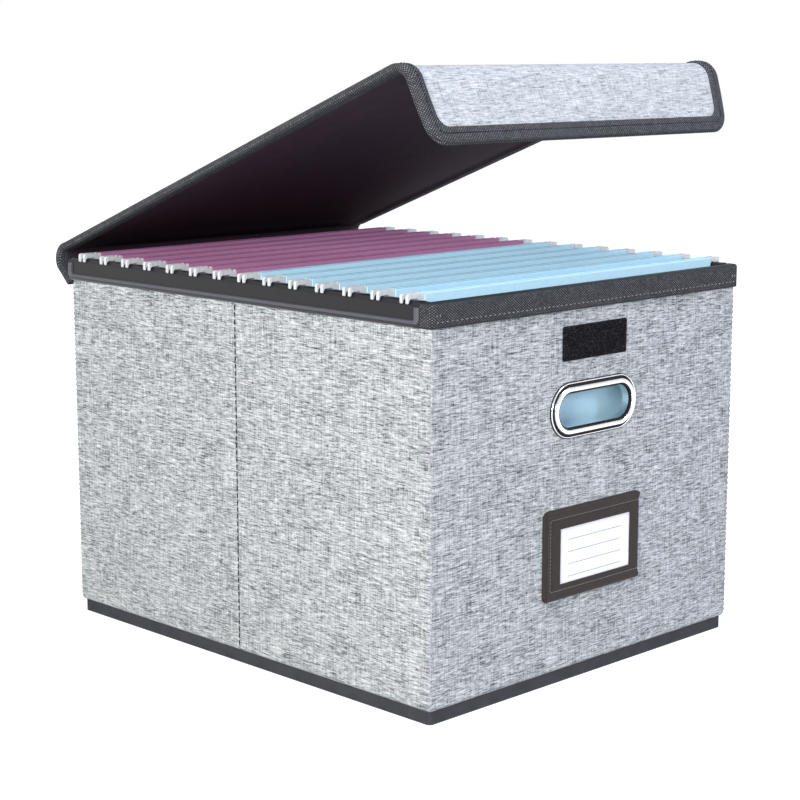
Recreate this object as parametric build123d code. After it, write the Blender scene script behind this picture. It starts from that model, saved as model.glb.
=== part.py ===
from build123d import *
import os
from math import cos, radians, sin, tan

# A lidded file box of cloth covered boards, with hanging folders on two side rails.
# Millimetres. X runs across the box, Y runs from front to back, Z is up, and the origin
# is the centre of the face that the box stands on. The lid is drawn closed and then
# turned to the angle at which it rests open.

os.makedirs("parts", exist_ok=True)

# Box body
box_width = 310.0
box_depth = 370.0
wall = 4.0
wall_top = 267.1
corner_round = 2.0
hem_round = 3.4
side_fold_gap = 0.4
side_fold_bevel = 1.2

# Base
band_height = 8.6
band_inset = 2.0
band_thickness = 3.0
band_corner = 3.0
base_thickness = 4.6
stiffener_thickness = 3.0
stiffener_clearance = 0.3

# Cloth rim on the front and rear walls
rim_low = 252.2
rim_cap = 1.4
rim_skin = 2.2
rim_lining = 1.2
rim_return = 10.0
rim_bevel = 0.9
rim_corner = 4.0

# Hanging rails on the side walls
rail_low = 252.4
rail_wall = 2.0
rail_crown = 1.8
rail_hump = 3.4
rail_overhang = 1.0
rail_end_round = 5.0
rail_end_gap = 0.2
rib_width = 4.4
rib_proud = 0.9
rib_height = 11.6
rib_bevel = 0.6

# Hanging folders
folder_count = 14
front_folder_gap = 14.6
rear_folder_gap = 12.2
folder_left_gap = 5.5
folder_right_gap = 1.5
folder_height = 235.0
leaf = 0.6
hanger_spread = 5.1
hanger_thickness = 1.2
hanger_depth = 9.2
hem_depth = 11.0
hem_crown = 0.6
folder_foot_width = 4.4
folder_crease_rise = 3.0
hook_roof = 3.2
hook_clearance = 0.3
finger_width = 1.4
finger_drop = 2.7
finger_bevel = 0.7
notch_bevel = 2.2
tick_width = 1.3
tick_depth = 1.2
tick_from_sheet = 2.6

# Hand grips, one in the front wall and one in the rear wall
grip_below_patch = 14.2
grip_length = 73.5
grip_opening = 23.0
grip_sleeve = 1.2
grip_ring_width = 4.2
grip_ring_proud = 3.2
grip_flange_width = 3.2
grip_flange_proud = 1.4
grip_back_width = 5.5
grip_back_thickness = 1.2

# Hook and loop closure
patch_length = 65.0
patch_height = 23.0
patch_thickness = 1.8
patch_corner = 1.5
patch_below_rim = 10.5
hook_patch_from_edge = 3.0
closure_gap = 3.0

# Label holder and its card
label_width = 100.0
label_height = 62.0
label_z = 89.7
label_thickness = 2.8
label_corner = 2.0
label_bevel = 1.2
window_width = 73.2
window_height = 37.8
window_left_border = 16.6
window_top_border = 13.8
window_bevel = 0.6
card_slot = 0.9
card_thickness = 0.5
card_margin = 4.2
card_clearance = 0.3
card_end_inset = 3.5

# Lid
lid_side_inset = 1.1
lid_board = 4.4
binding_skin = 0.6
binding_leg = 11.0
lining_thickness = 0.4
lining_clearance = 0.2
lid_over_hooks = 0.3
rear_fold_radius = 11.0
front_fold_radius = 15.2
fold_gap = 0.25
fold_relief = 3.0
hinge_z = 250.2
hinge_gap = 0.3
hinge_tape_width = 15.0
hinge_welt = 2.8
rear_flap_lean = 12.0
front_flap_drop = 56.3
front_flap_taper = 7.5
front_flap_bulge = 0.9
front_flap_corner = 12.0
lid_open_angle = 20.9

# Places that follow from the sizes above
half_width = box_width / 2
half_depth = box_depth / 2
inner_width = half_width - wall
inner_depth = half_depth - wall
rim_top = wall_top + rim_cap
rail_front = -(half_depth + rim_skin - rim_return)
rail_rear = half_depth + rail_overhang
rail_outer = half_width + rail_wall
rail_inner = inner_width - rail_wall
rail_top = wall_top + rail_crown
notch_roof = rail_top + hook_clearance
hook_top = notch_roof + hook_roof
lid_underside = hook_top + lid_over_hooks
bead_radius = lid_board / 2 + binding_skin
lid_top_z = lid_underside + 2 * bead_radius
hinge_y = half_depth + rim_skin + hinge_welt + hinge_gap + bead_radius
front_skin_y = -(half_depth + 2 * patch_thickness + closure_gap)
lid_width = box_width - 2 * lid_side_inset
core_half_width = lid_width / 2 - binding_skin
loop_patch_z = rim_low - patch_below_rim - patch_height / 2
grip_outer_height = grip_opening + 2 * (grip_ring_width + grip_flange_width)
grip_height = loop_patch_z - patch_height / 2 - grip_below_patch - grip_outer_height / 2
front_folder_y = front_folder_gap - inner_depth + rim_lining
rear_folder_y = inner_depth - rim_lining - rear_folder_gap
folder_pitch = (rear_folder_y - front_folder_y) / (folder_count - 1)
reach = 600.0

parts = {}


def block(x_span, y_span, z_span):
    """A plain board between two places on each axis."""
    size = [high - low for low, high in (x_span, y_span, z_span)]
    middle = [(high + low) / 2 for low, high in (x_span, y_span, z_span)]
    return Pos(*middle) * Box(*size)


def along_x(face, low, high):
    """A section drawn in Y and Z, run along X."""
    return extrude(Plane.YZ.offset(low) * face, high - low)


def along_y(face, low, high):
    """An outline drawn in X and Z, run along Y."""
    return extrude(Plane.XZ.offset(-low) * face, low - high)


def at_x(shape, place):
    """Edges of a shape whose middle has this X."""
    return shape.edges().filter_by(lambda edge: abs(edge.center().X - place) < 1e-3)


def at_y(shape, place):
    """Edges of a shape whose middle has this Y."""
    return shape.edges().filter_by(lambda edge: abs(edge.center().Y - place) < 1e-3)


def rounded_slot(length, height):
    """A level slot with round ends, of this outside size."""
    return SlotOverall(length, height)


# Boards of the body


def end_wall(side):
    """The front wall (side -1) or the rear wall (side 1), with its hand hole."""
    outer = side * half_depth
    inner = side * inner_depth
    board = block((-half_width, half_width), sorted((outer, inner)), (band_height, wall_top))
    corners = at_y(board, outer).filter_by(Axis.Z)
    board = fillet(corners, corner_round)
    foot = at_y(board, outer).sort_by(Axis.Z)[0]
    board = fillet(foot, hem_round)
    hole = rounded_slot(grip_length + 2 * grip_sleeve, grip_opening + 2 * grip_sleeve)
    cut = Pos(0, 0, grip_height) * along_y(hole, min(outer, inner) - 1, max(outer, inner) + 1)
    return board - cut


def side_half(side, end):
    """Half a side wall: side is -1 left or 1 right, end is -1 front or 1 rear."""
    y_span = sorted((end * side_fold_gap / 2, end * inner_depth))
    x_span = sorted((side * half_width, side * inner_width))
    board = block(x_span, y_span, (band_height, wall_top))
    foot = at_x(board, side * half_width).sort_by(Axis.Z)[0]
    board = fillet(foot, hem_round)
    crease = at_x(board, side * half_width).filter_by(Axis.Z).sort_by(lambda e: abs(e.center().Y))[0]
    return chamfer(crease, side_fold_bevel)


parts["front_wall"] = end_wall(-1)
parts["rear_wall"] = end_wall(1)
parts["left_wall_front_half"] = side_half(-1, -1)
parts["left_wall_rear_half"] = side_half(-1, 1)
parts["right_wall_front_half"] = side_half(1, -1)
parts["right_wall_rear_half"] = side_half(1, 1)


# Base, its band and the loose stiffener

band_x = half_width - band_inset
band_y = half_depth - band_inset
band_plan = RectangleRounded(2 * band_x, 2 * band_y, band_corner)
base_plan = Rectangle(2 * (band_x - band_thickness), 2 * (band_y - band_thickness))
parts["bottom_band"] = extrude(band_plan - base_plan, band_height)
parts["base_panel"] = extrude(base_plan, base_thickness)
stiffener_plan = offset(base_plan, -stiffener_clearance, kind=Kind.INTERSECTION)
parts["base_stiffener"] = Pos(0, 0, base_thickness) * extrude(stiffener_plan, stiffener_thickness)


# Cloth rims


def front_rim_shape():
    """The rim of the front wall, turned back along both sides as far as the rails."""
    x_out = half_width + rim_skin
    y_out = -(half_depth + rim_skin)
    band = block((-x_out, x_out), (y_out, rail_front), (rim_low, rim_top))
    corners = at_y(band, y_out).filter_by(Axis.Z)
    band = fillet(corners, rim_corner)
    band = chamfer(band.faces().sort_by(Axis.Z)[-1].edges(), rim_bevel)
    x_in = inner_width - rim_lining
    band -= block((-x_in, x_in), (-(inner_depth - rim_lining), half_depth), (0, reach))
    for name in ("front_wall", "left_wall_front_half", "right_wall_front_half"):
        band -= parts[name]
    return band


def rear_rim_shape():
    """The rim of the rear wall, between the rails."""
    x_out = rail_inner - rail_end_gap
    y_span = (inner_depth - rim_lining, half_depth + rim_skin)
    band = block((-x_out, x_out), y_span, (rim_low, rim_top))
    ridge = band.faces().sort_by(Axis.Z)[-1].edges().filter_by(Axis.X)
    return chamfer(ridge, rim_bevel) - parts["rear_wall"]


parts["front_rim"] = front_rim_shape()
parts["rear_rim"] = rear_rim_shape()


# Hanging rails


def rail_shape(side):
    """A channel over the side wall's top edge, with a rounded crown and an outer rib frame."""
    width = rail_outer - rail_inner
    height = rail_top - rail_low
    middle = (rail_outer + rail_inner) / 2
    section = Pos(middle, (rail_top + rail_low) / 2) * Rectangle(width, height)
    section = fillet(section.vertices().group_by(Axis.Y)[-1], rail_hump)
    rail = along_y(section, rail_front, rail_rear)
    profile = Pos((rail_front + rail_rear) / 2, rail_top - reach / 2) * Rectangle(
        rail_rear - rail_front, reach
    )
    crown_end = profile.vertices().group_by(Axis.Y)[-1].sort_by(Axis.X)[-1]
    rail &= along_x(fillet(crown_end, rail_end_round), 0, reach)
    rail -= block((inner_width, half_width), (-reach, reach), (0, wall_top))
    rear_of_leg = inner_depth - rim_lining - rail_end_gap
    rail -= block((0, half_width), (rear_of_leg, reach), (0, wall_top))
    x_span = (rail_outer, rail_outer + rib_proud)
    rib = block(x_span, (rail_front, rail_rear), (rail_low, rail_low + rib_height))
    rib = chamfer(rib.faces().sort_by(Axis.X)[-1].edges(), rib_bevel)
    y_span = (rail_front + rib_width, rail_rear - rib_width)
    rib -= block((rail_outer, reach), y_span, (rail_low + rib_width, reach))
    rail += rib
    return rail if side > 0 else mirror(rail, Plane.YZ)


parts["left_rail"] = rail_shape(-1)
parts["right_rail"] = rail_shape(1)


# Hand grips: an outer ring with its sleeve, and a back ring inside the wall


def grip_size(width):
    """Length and height of the grip's slot, grown by a width all round."""
    return grip_length + 2 * width, grip_opening + 2 * width


def grip_ring():
    """The outer ring, drawn standing on a wall face at zero and growing towards plus Z."""
    flange = extrude(rounded_slot(*grip_size(grip_ring_width + grip_flange_width)), grip_flange_proud)
    hole = extrude(rounded_slot(*grip_size(0)), reach, both=True)
    ring = extrude(rounded_slot(*grip_size(grip_ring_width)), grip_ring_proud)
    sleeve = extrude(rounded_slot(*grip_size(grip_sleeve)), -(wall + grip_back_thickness))
    return flange + ring + sleeve - hole


def grip_back():
    """The ring pressed onto the sleeve from inside, lying on the wall's inner face."""
    plate = extrude(rounded_slot(*grip_size(grip_back_width)), grip_back_thickness)
    return plate - extrude(rounded_slot(*grip_size(grip_sleeve)), reach)


front_face = Plane((0, -half_depth, grip_height), x_dir=(1, 0, 0), z_dir=(0, -1, 0))
rear_face = Plane((0, half_depth, grip_height), x_dir=(-1, 0, 0), z_dir=(0, 1, 0))
front_inside = Plane((0, -inner_depth, grip_height), x_dir=(-1, 0, 0), z_dir=(0, 1, 0))
rear_inside = Plane((0, inner_depth, grip_height), x_dir=(1, 0, 0), z_dir=(0, -1, 0))
parts["front_grip_ring"] = front_face.location * grip_ring()
parts["rear_grip_ring"] = rear_face.location * grip_ring()
parts["front_grip_back"] = front_inside.location * grip_back()
parts["rear_grip_back"] = rear_inside.location * grip_back()


# Closure patches


def patch(y_face, direction, z_middle):
    """A piece of hook or loop tape standing on a face, towards minus or plus Y."""
    outline = RectangleRounded(patch_length, patch_height, patch_corner)
    y_span = sorted((y_face, y_face + direction * patch_thickness))
    return Pos(0, 0, z_middle) * along_y(outline, *y_span)


parts["loop_patch"] = patch(-half_depth, -1, loop_patch_z)


# Label holder and card


def label_places():
    """Window and slot of the label holder, as spans along X and Z."""
    left = -label_width / 2 + window_left_border
    top = label_z + label_height / 2 - window_top_border
    window = ((left, left + window_width), (top - window_height, top))
    slot_left = window[0][0] - card_margin - card_clearance
    slot_low = window[1][0] - card_margin - card_clearance
    slot_high = window[1][1] + card_margin + card_clearance
    return window, (slot_left, slot_low, slot_high)


def label_holder_shape():
    """A padded frame, sewn on three sides, with the card slot open to the right."""
    window, (slot_left, slot_low, slot_high) = label_places()
    y_back = -half_depth
    outline = RectangleRounded(label_width, label_height, label_corner)
    frame = Pos(0, 0, label_z) * along_y(outline, y_back - label_thickness, y_back)
    frame = chamfer(frame.faces().sort_by(Axis.Y)[0].edges(), label_bevel)
    frame -= block(window[0], (y_back - reach, y_back + 1), window[1])
    rim = frame.edges().group_by(Axis.Y)[0].filter_by(
        lambda edge: window[0][0] - 1 < edge.center().X < window[0][1] + 1
        and window[1][0] - 1 < edge.center().Z < window[1][1] + 1
    )
    frame = chamfer(rim, window_bevel)
    return frame - block((slot_left, reach), (y_back - card_slot, y_back + 1), (slot_low, slot_high))


def label_card_shape():
    """The card, lying in the middle of the slot's thickness."""
    (slot_left, slot_low, slot_high) = label_places()[1]
    play = (card_slot - card_thickness) / 2
    x_span = (slot_left + card_clearance, label_width / 2 - card_end_inset)
    y_span = (-half_depth - card_slot + play, -half_depth - play)
    return block(x_span, y_span, (slot_low + card_clearance, slot_high - card_clearance))


parts["label_holder"] = label_holder_shape()
parts["label_card"] = label_card_shape()


# Hanging folders

hanger_centre = hanger_spread / 2
hem_inner = hanger_centre - hanger_thickness / 2 - leaf
hem_outer = hanger_centre + hanger_thickness / 2 + leaf
sheet_left = folder_left_gap - rail_inner
sheet_right = rail_inner - folder_right_gap


def folder_section():
    """One folder's card seen from its end: two leaves, the creased foot and the top hems."""
    low = hook_top - folder_height
    hem_foot = hook_top - hem_depth
    foot = folder_foot_width / 2
    bend = low + folder_crease_rise
    ring = [(hem_outer, hem_foot), (hem_outer, bend), (foot, low)]
    ring += [(-y, z) for y, z in reversed(ring)]
    outside = make_face(Polyline(*ring, close=True))
    mouth = Pos(0, hem_foot) * Rectangle(2 * (hem_outer - leaf), 4 * leaf)
    card = outside - offset(outside, -leaf, kind=Kind.INTERSECTION) - mouth
    for side in (-1, 1):
        middle = side * hanger_centre
        hem = Pos(middle, (hem_foot + hook_top) / 2) * Rectangle(hem_outer - hem_inner, hem_depth)
        hem = chamfer(hem.vertices().group_by(Axis.Y)[-1], hem_crown)
        sleeve = Pos(middle, hook_top - hem_crown - reach / 2) * Rectangle(hanger_thickness, reach)
        card += hem - sleeve
    return card


def hanger_outline():
    """A hanger strip seen from the front: the strip, its two hooks and their ticks."""
    strip_top = hook_top - hem_crown
    strip = Pos((sheet_left + sheet_right) / 2, strip_top - hanger_depth / 2) * Rectangle(
        sheet_right - sheet_left, hanger_depth
    )
    finger_out = rail_outer + hook_clearance + finger_width
    finger_low = notch_roof - finger_drop
    low = strip_top - hanger_depth
    for side, sheet_edge in ((-1, sheet_left), (1, sheet_right)):
        outer_end, inner_end = (-1, 0) if side > 0 else (0, -1)
        shank = rail_inner - hook_clearance
        plate = Pos(side * (finger_out + abs(sheet_edge)) / 2, (hook_top + low) / 2) * Rectangle(
            finger_out - abs(sheet_edge), hook_top - low
        )
        plate = chamfer(plate.vertices().group_by(Axis.Y)[-1].sort_by(Axis.X)[outer_end], finger_bevel)
        notch = Pos(side * (finger_out - finger_width + shank) / 2, notch_roof - reach / 2) * Rectangle(
            finger_out - finger_width - shank, reach
        )
        notch = chamfer(notch.vertices().group_by(Axis.Y)[-1].sort_by(Axis.X)[inner_end], notch_bevel)
        below = Pos(side * (finger_out + shank) / 2, finger_low - reach / 2) * Rectangle(
            finger_out - shank, reach
        )
        tick_x = side * (abs(sheet_edge) + tick_from_sheet)
        tick = Pos(tick_x, hook_top) * Rectangle(tick_width, 2 * tick_depth)
        strip += plate - notch - below - tick
    return strip


def folder_solids(y_middle):
    """The card and the two hanger strips of the folder at this place along the rails."""
    card = Pos(0, y_middle, 0) * along_x(folder_section(), sheet_left, sheet_right)
    hangers = []
    for side in (-1, 1):
        y_low = y_middle + side * hanger_centre - hanger_thickness / 2
        hangers.append(along_y(hanger_outline(), y_low, y_low + hanger_thickness))
    return card, hangers


for index in range(folder_count):
    from_rear = folder_count - 1 - index
    card, hangers = folder_solids(front_folder_y + from_rear * folder_pitch)
    parts[f"folder_{index + 1:02d}"] = card
    parts[f"folder_{index + 1:02d}_hangers"] = Compound(hangers)


# Lid, drawn closed: a rear flap, a top and a front flap in one folded section


def flap_lean(end):
    """Angle between a flap and the upright, negative where its foot is the further in."""
    return radians(-rear_flap_lean) if end > 0 else 0.0


def fold_radius(end):
    """Radius of the board's outer face round the rear fold (end 1) or the front fold (end -1)."""
    return rear_fold_radius if end > 0 else front_fold_radius


def half_fold(end):
    """Half the inside angle of a fold, and so the angle of its bisector from the top."""
    return (radians(90) + flap_lean(end)) / 2


def outer_corner_y(end):
    """Where the bindings' outer faces would meet, were the fold sharp.

    The rear one follows from the hinge line, which the rear flap's foot is round about. The
    front one puts the upright front flap's inner face on its place.
    """
    if end < 0:
        return front_skin_y - 2 * bead_radius
    lean = radians(rear_flap_lean)
    rise = (lid_top_z - hinge_z + bead_radius * sin(lean)) / cos(lean)
    return hinge_y + bead_radius * cos(lean) + rise * sin(lean)


def lid_corner(end, half):
    """The same corner for a section of this half thickness, on the fold's bisector."""
    inset = bead_radius - half
    return outer_corner_y(end) - end * inset / tan(half_fold(end)), lid_top_z - inset


def lid_outline(half):
    """The filled section inside one face of the lid, down to well below both flaps."""
    foot = reach / 3
    points = []
    for end in (-1, 1):
        y_corner, z_corner = lid_corner(end, half)
        y_foot = y_corner + end * foot * tan(flap_lean(end))
        points.append([(y_foot, z_corner - foot), (y_corner, z_corner)])
    ring = [points[0][0], points[0][1], points[1][1], points[1][0]]
    face = make_face(Polyline(*ring, close=True))
    for end, pick in ((-1, 0), (1, -1)):
        corner = face.vertices().group_by(Axis.Y)[-1].sort_by(Axis.X)[pick]
        face = fillet(corner, fold_radius(end) + half - lid_board / 2)
    return face


def lid_band(skin):
    """The folded section of the lid, with a skin of this thickness on both faces."""
    half = lid_board / 2 + skin
    return lid_outline(half) - lid_outline(-half)


def fold_line(end):
    """The line that a fold turns about, on the outer face, and its bisector's angle."""
    turn = half_fold(end)
    radius = fold_radius(end) + binding_skin
    depth = radius / sin(turn) - radius
    return outer_corner_y(end) - end * depth * cos(turn), lid_top_z - depth * sin(turn), turn


def flap_side(end, flap):
    """The half plane on the flap's side of a fold, or on the top's side, less the gap."""
    y_fold, z_fold, half_opening = fold_line(end)
    relief = radians(fold_relief)
    turn = half_opening + relief if flap else half_opening - relief
    y_inward, z_inward = -end * cos(turn), -sin(turn)
    normal = (end * -z_inward, end * y_inward) if flap else (end * z_inward, end * -y_inward)
    along = (y_inward, z_inward)
    start = (y_fold + normal[0] * fold_gap, z_fold + normal[1] * fold_gap)
    corners = []
    for out, across in ((-1, 0), (1, 0), (1, 1), (-1, 1)):
        y_point = start[0] + reach * (out * along[0] + across * normal[0])
        z_point = start[1] + reach * (out * along[1] + across * normal[1])
        corners.append((y_point, z_point))
    return make_face(Polyline(*corners, close=True))


def rear_flap_section(skin):
    """The rear flap, whose foot is round about the hinge line."""
    half = lid_board / 2 + skin
    section = lid_band(skin) & flap_side(1, True)
    lean = -rear_flap_lean
    above = Pos(hinge_y, hinge_z) * Rot(0, 0, lean) * Pos(0, reach / 2) * Rectangle(8 * half, reach)
    return (section & above) + Pos(hinge_y, hinge_z) * Circle(half)


def top_section(skin):
    """The top, between the two folds."""
    return lid_band(skin) & flap_side(1, False) & flap_side(-1, False)


def front_flap_section(skin):
    """The front flap, running on below its foot, which its outline cuts."""
    return lid_band(skin) & flap_side(-1, True)


def front_flap_outline():
    """The front flap seen from the front, with bowed sides and round lower corners."""
    z_fold = lid_top_z - front_fold_radius
    z_foot = lid_top_z - front_flap_drop
    x_fold = lid_width / 2
    x_foot = x_fold - front_flap_taper
    x_mid = (x_fold + x_foot) / 2 + front_flap_bulge
    z_mid = (z_fold + z_foot) / 2
    right = ThreePointArc((x_foot, z_foot), (x_mid, z_mid), (x_fold, z_fold))
    left = ThreePointArc((-x_fold, z_fold), (-x_mid, z_mid), (-x_foot, z_foot))
    head = Polyline((x_fold, z_fold), (x_fold, z_fold + reach), (-x_fold, z_fold + reach), (-x_fold, z_fold))
    foot = Line((-x_foot, z_foot), (x_foot, z_foot))
    face = make_face(right + head + left + foot)
    return fillet(face.vertices().group_by(Axis.Y)[0], front_flap_corner)


def bindings_along(section, core):
    """The two cloth bindings that wrap a board's left and right edges."""
    solids = []
    for side in (-1, 1):
        span = sorted((side * lid_width / 2, side * (lid_width / 2 - binding_leg)))
        solids.append(along_x(section, *span) - core)
    return solids


def lining_sheet(end_cut, half_span):
    """The lining's section: a thin sheet on the inner face."""
    half = lid_board / 2
    sheet = lid_outline(-half) - lid_outline(-half - lining_thickness)
    for cut in end_cut:
        sheet &= cut
    return along_x(sheet, -half_span, half_span)


lid_rear = along_x(rear_flap_section(0), -core_half_width, core_half_width)
lid_top = along_x(top_section(0), -core_half_width, core_half_width)
flap_face = front_flap_outline()
flap_depth = (front_skin_y - 4 * front_fold_radius, front_skin_y + 4 * front_fold_radius)
flap_core_outline = offset(flap_face, -binding_skin)
flap_open_face = offset(flap_face, -binding_leg)
lid_front = along_x(front_flap_section(0), -core_half_width, core_half_width)
lid_front &= along_y(flap_core_outline, *flap_depth)
front_binding = along_x(front_flap_section(binding_skin), -lid_width / 2, lid_width / 2)
front_binding &= along_y(flap_face, *flap_depth)
front_binding -= along_y(flap_open_face, *flap_depth)
front_binding -= along_x(front_flap_section(0), -core_half_width, core_half_width) & along_y(
    flap_core_outline, *flap_depth
)

lining_half = lid_width / 2 - binding_leg - lining_clearance
top_cuts = (flap_side(1, False), flap_side(-1, False))
lid_lining = lining_sheet(top_cuts, lining_half)
flap_lining_face = offset(flap_face, -(binding_leg + lining_clearance))
flap_lining = lining_sheet((flap_side(-1, True),), lining_half)
flap_lining &= along_y(flap_lining_face, *flap_depth)

lid_pieces = {
    "lid_rear_flap": lid_rear,
    "lid_rear_bindings": Compound(bindings_along(rear_flap_section(binding_skin), lid_rear)),
    "lid_top": lid_top,
    "lid_top_bindings": Compound(bindings_along(top_section(binding_skin), lid_top)),
    "lid_lining": lid_lining,
    "lid_front_flap": lid_front,
    "lid_front_binding": front_binding,
    "lid_front_lining": flap_lining,
}

hook_patch_z = lid_top_z - front_flap_drop + hook_patch_from_edge + patch_height / 2
lid_pieces["hook_patch"] = patch(front_skin_y, 1, hook_patch_z)

opening = Pos(0, hinge_y, hinge_z) * Rot(-lid_open_angle, 0, 0) * Pos(0, -hinge_y, -hinge_z)
for name, solid in lid_pieces.items():
    parts[name] = opening * solid

# The tape that carries the lid, sewn on the rear wall under its rim, with a welt beside the foot
tape_back = half_depth + rim_skin
tape = block((-rail_inner, rail_inner), (half_depth, tape_back), (rim_low - hinge_tape_width, rim_low))
welt = Pos(tape_back, hinge_z) * Circle(hinge_welt)
welt &= Pos(tape_back + reach / 2, hinge_z) * Rectangle(reach, reach)
parts["hinge_tape"] = tape + along_x(welt, -rail_inner, rail_inner)


for name, shape in parts.items():
    export_step(shape, f"parts/{name}.step")

for label, end in (("rear fold", 1), ("front fold", -1)):
    y_closed, z_closed, _ = fold_line(end)
    turned = opening * Pos(0, y_closed, z_closed)
    print(label, round(turned.position.Y, 3), round(turned.position.Z, 3))
print("hinge", hinge_y, hinge_z, "nodes", len(parts))
print("folder span", round(hem_outer, 3), "lid underside", lid_underside, "hook top", hook_top)
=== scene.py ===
"""Dresses the file box: its cloths, bindings, seams, chrome, card and plastic, and the studio round it."""

import logging
import math
import random
from contextlib import contextmanager
from dataclasses import dataclass, field
from enum import Enum
from typing import Callable, Iterator

import bmesh
import bpy
from mathutils import Matrix, Vector


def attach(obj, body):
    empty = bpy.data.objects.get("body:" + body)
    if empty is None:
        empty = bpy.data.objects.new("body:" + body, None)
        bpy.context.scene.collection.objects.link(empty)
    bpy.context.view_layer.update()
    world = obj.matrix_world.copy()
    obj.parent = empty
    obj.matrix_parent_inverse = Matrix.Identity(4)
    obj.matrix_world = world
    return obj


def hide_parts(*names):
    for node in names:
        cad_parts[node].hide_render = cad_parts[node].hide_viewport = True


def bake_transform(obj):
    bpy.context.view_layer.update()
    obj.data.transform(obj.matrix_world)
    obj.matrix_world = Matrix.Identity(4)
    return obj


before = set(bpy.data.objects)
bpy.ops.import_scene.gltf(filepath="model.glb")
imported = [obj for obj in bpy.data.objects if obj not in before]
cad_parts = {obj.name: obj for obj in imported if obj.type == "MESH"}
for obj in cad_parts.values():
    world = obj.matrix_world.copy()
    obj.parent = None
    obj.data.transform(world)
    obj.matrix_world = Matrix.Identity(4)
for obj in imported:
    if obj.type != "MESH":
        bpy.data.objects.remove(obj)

MM = 0.001
QUARTER = math.pi / 2
Piece = bpy.types.Object
Material = bpy.types.Material
Socket = bpy.types.NodeSocket
log = logging.getLogger("file_box")


def linear(hex_colour: str) -> tuple[float, float, float, float]:
    """Turns an sRGB hex colour into linear RGBA.

    Args:
        hex_colour: six hex digits after a hash sign.

    Returns:
        The colour as Blender's sockets want it, with an alpha of 1.
    """
    values = [int(hex_colour[i : i + 2], 16) / 255 for i in (1, 3, 5)]
    red, green, blue = (v / 12.92 if v <= 0.04045 else ((v + 0.055) / 1.055) ** 2.4 for v in values)
    return red, green, blue, 1.0


def feed(node: bpy.types.Node, links: dict) -> None:
    """Gives a node's inputs, by name or number, each a value or the socket that feeds it."""
    for key, value in links.items():
        if isinstance(value, Socket):
            node.id_data.links.new(value, node.inputs[key])
        else:
            node.inputs[key].default_value = value


def add_node(tree: bpy.types.NodeTree, kind: str, links: dict | None = None, **settings) -> bpy.types.Node:
    """Adds a node with its settings and its inputs.

    Args:
        tree: the node tree that it goes into.
        kind: the node's type name.
        links: input name or number, with the value or the socket that feeds it.
        settings: the node's own properties.

    Returns:
        The new node.
    """
    node = tree.nodes.new(kind)
    for name, value in settings.items():
        setattr(node, name, value)
    feed(node, links or {})
    return node


def emptied(owner: Material | bpy.types.World) -> bpy.types.NodeTree:
    """Gives a material or a world an empty node tree, and returns it."""
    owner.use_nodes = True
    owner.node_tree.nodes.clear()
    return owner.node_tree


class Grain(Enum):
    """How a pattern lies on a piece."""

    UPRIGHT = "on upright faces, all round the box"
    LEVEL = "through the whole piece"
    CUT_CLOTH = "on the piece's own flat pattern"


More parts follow.
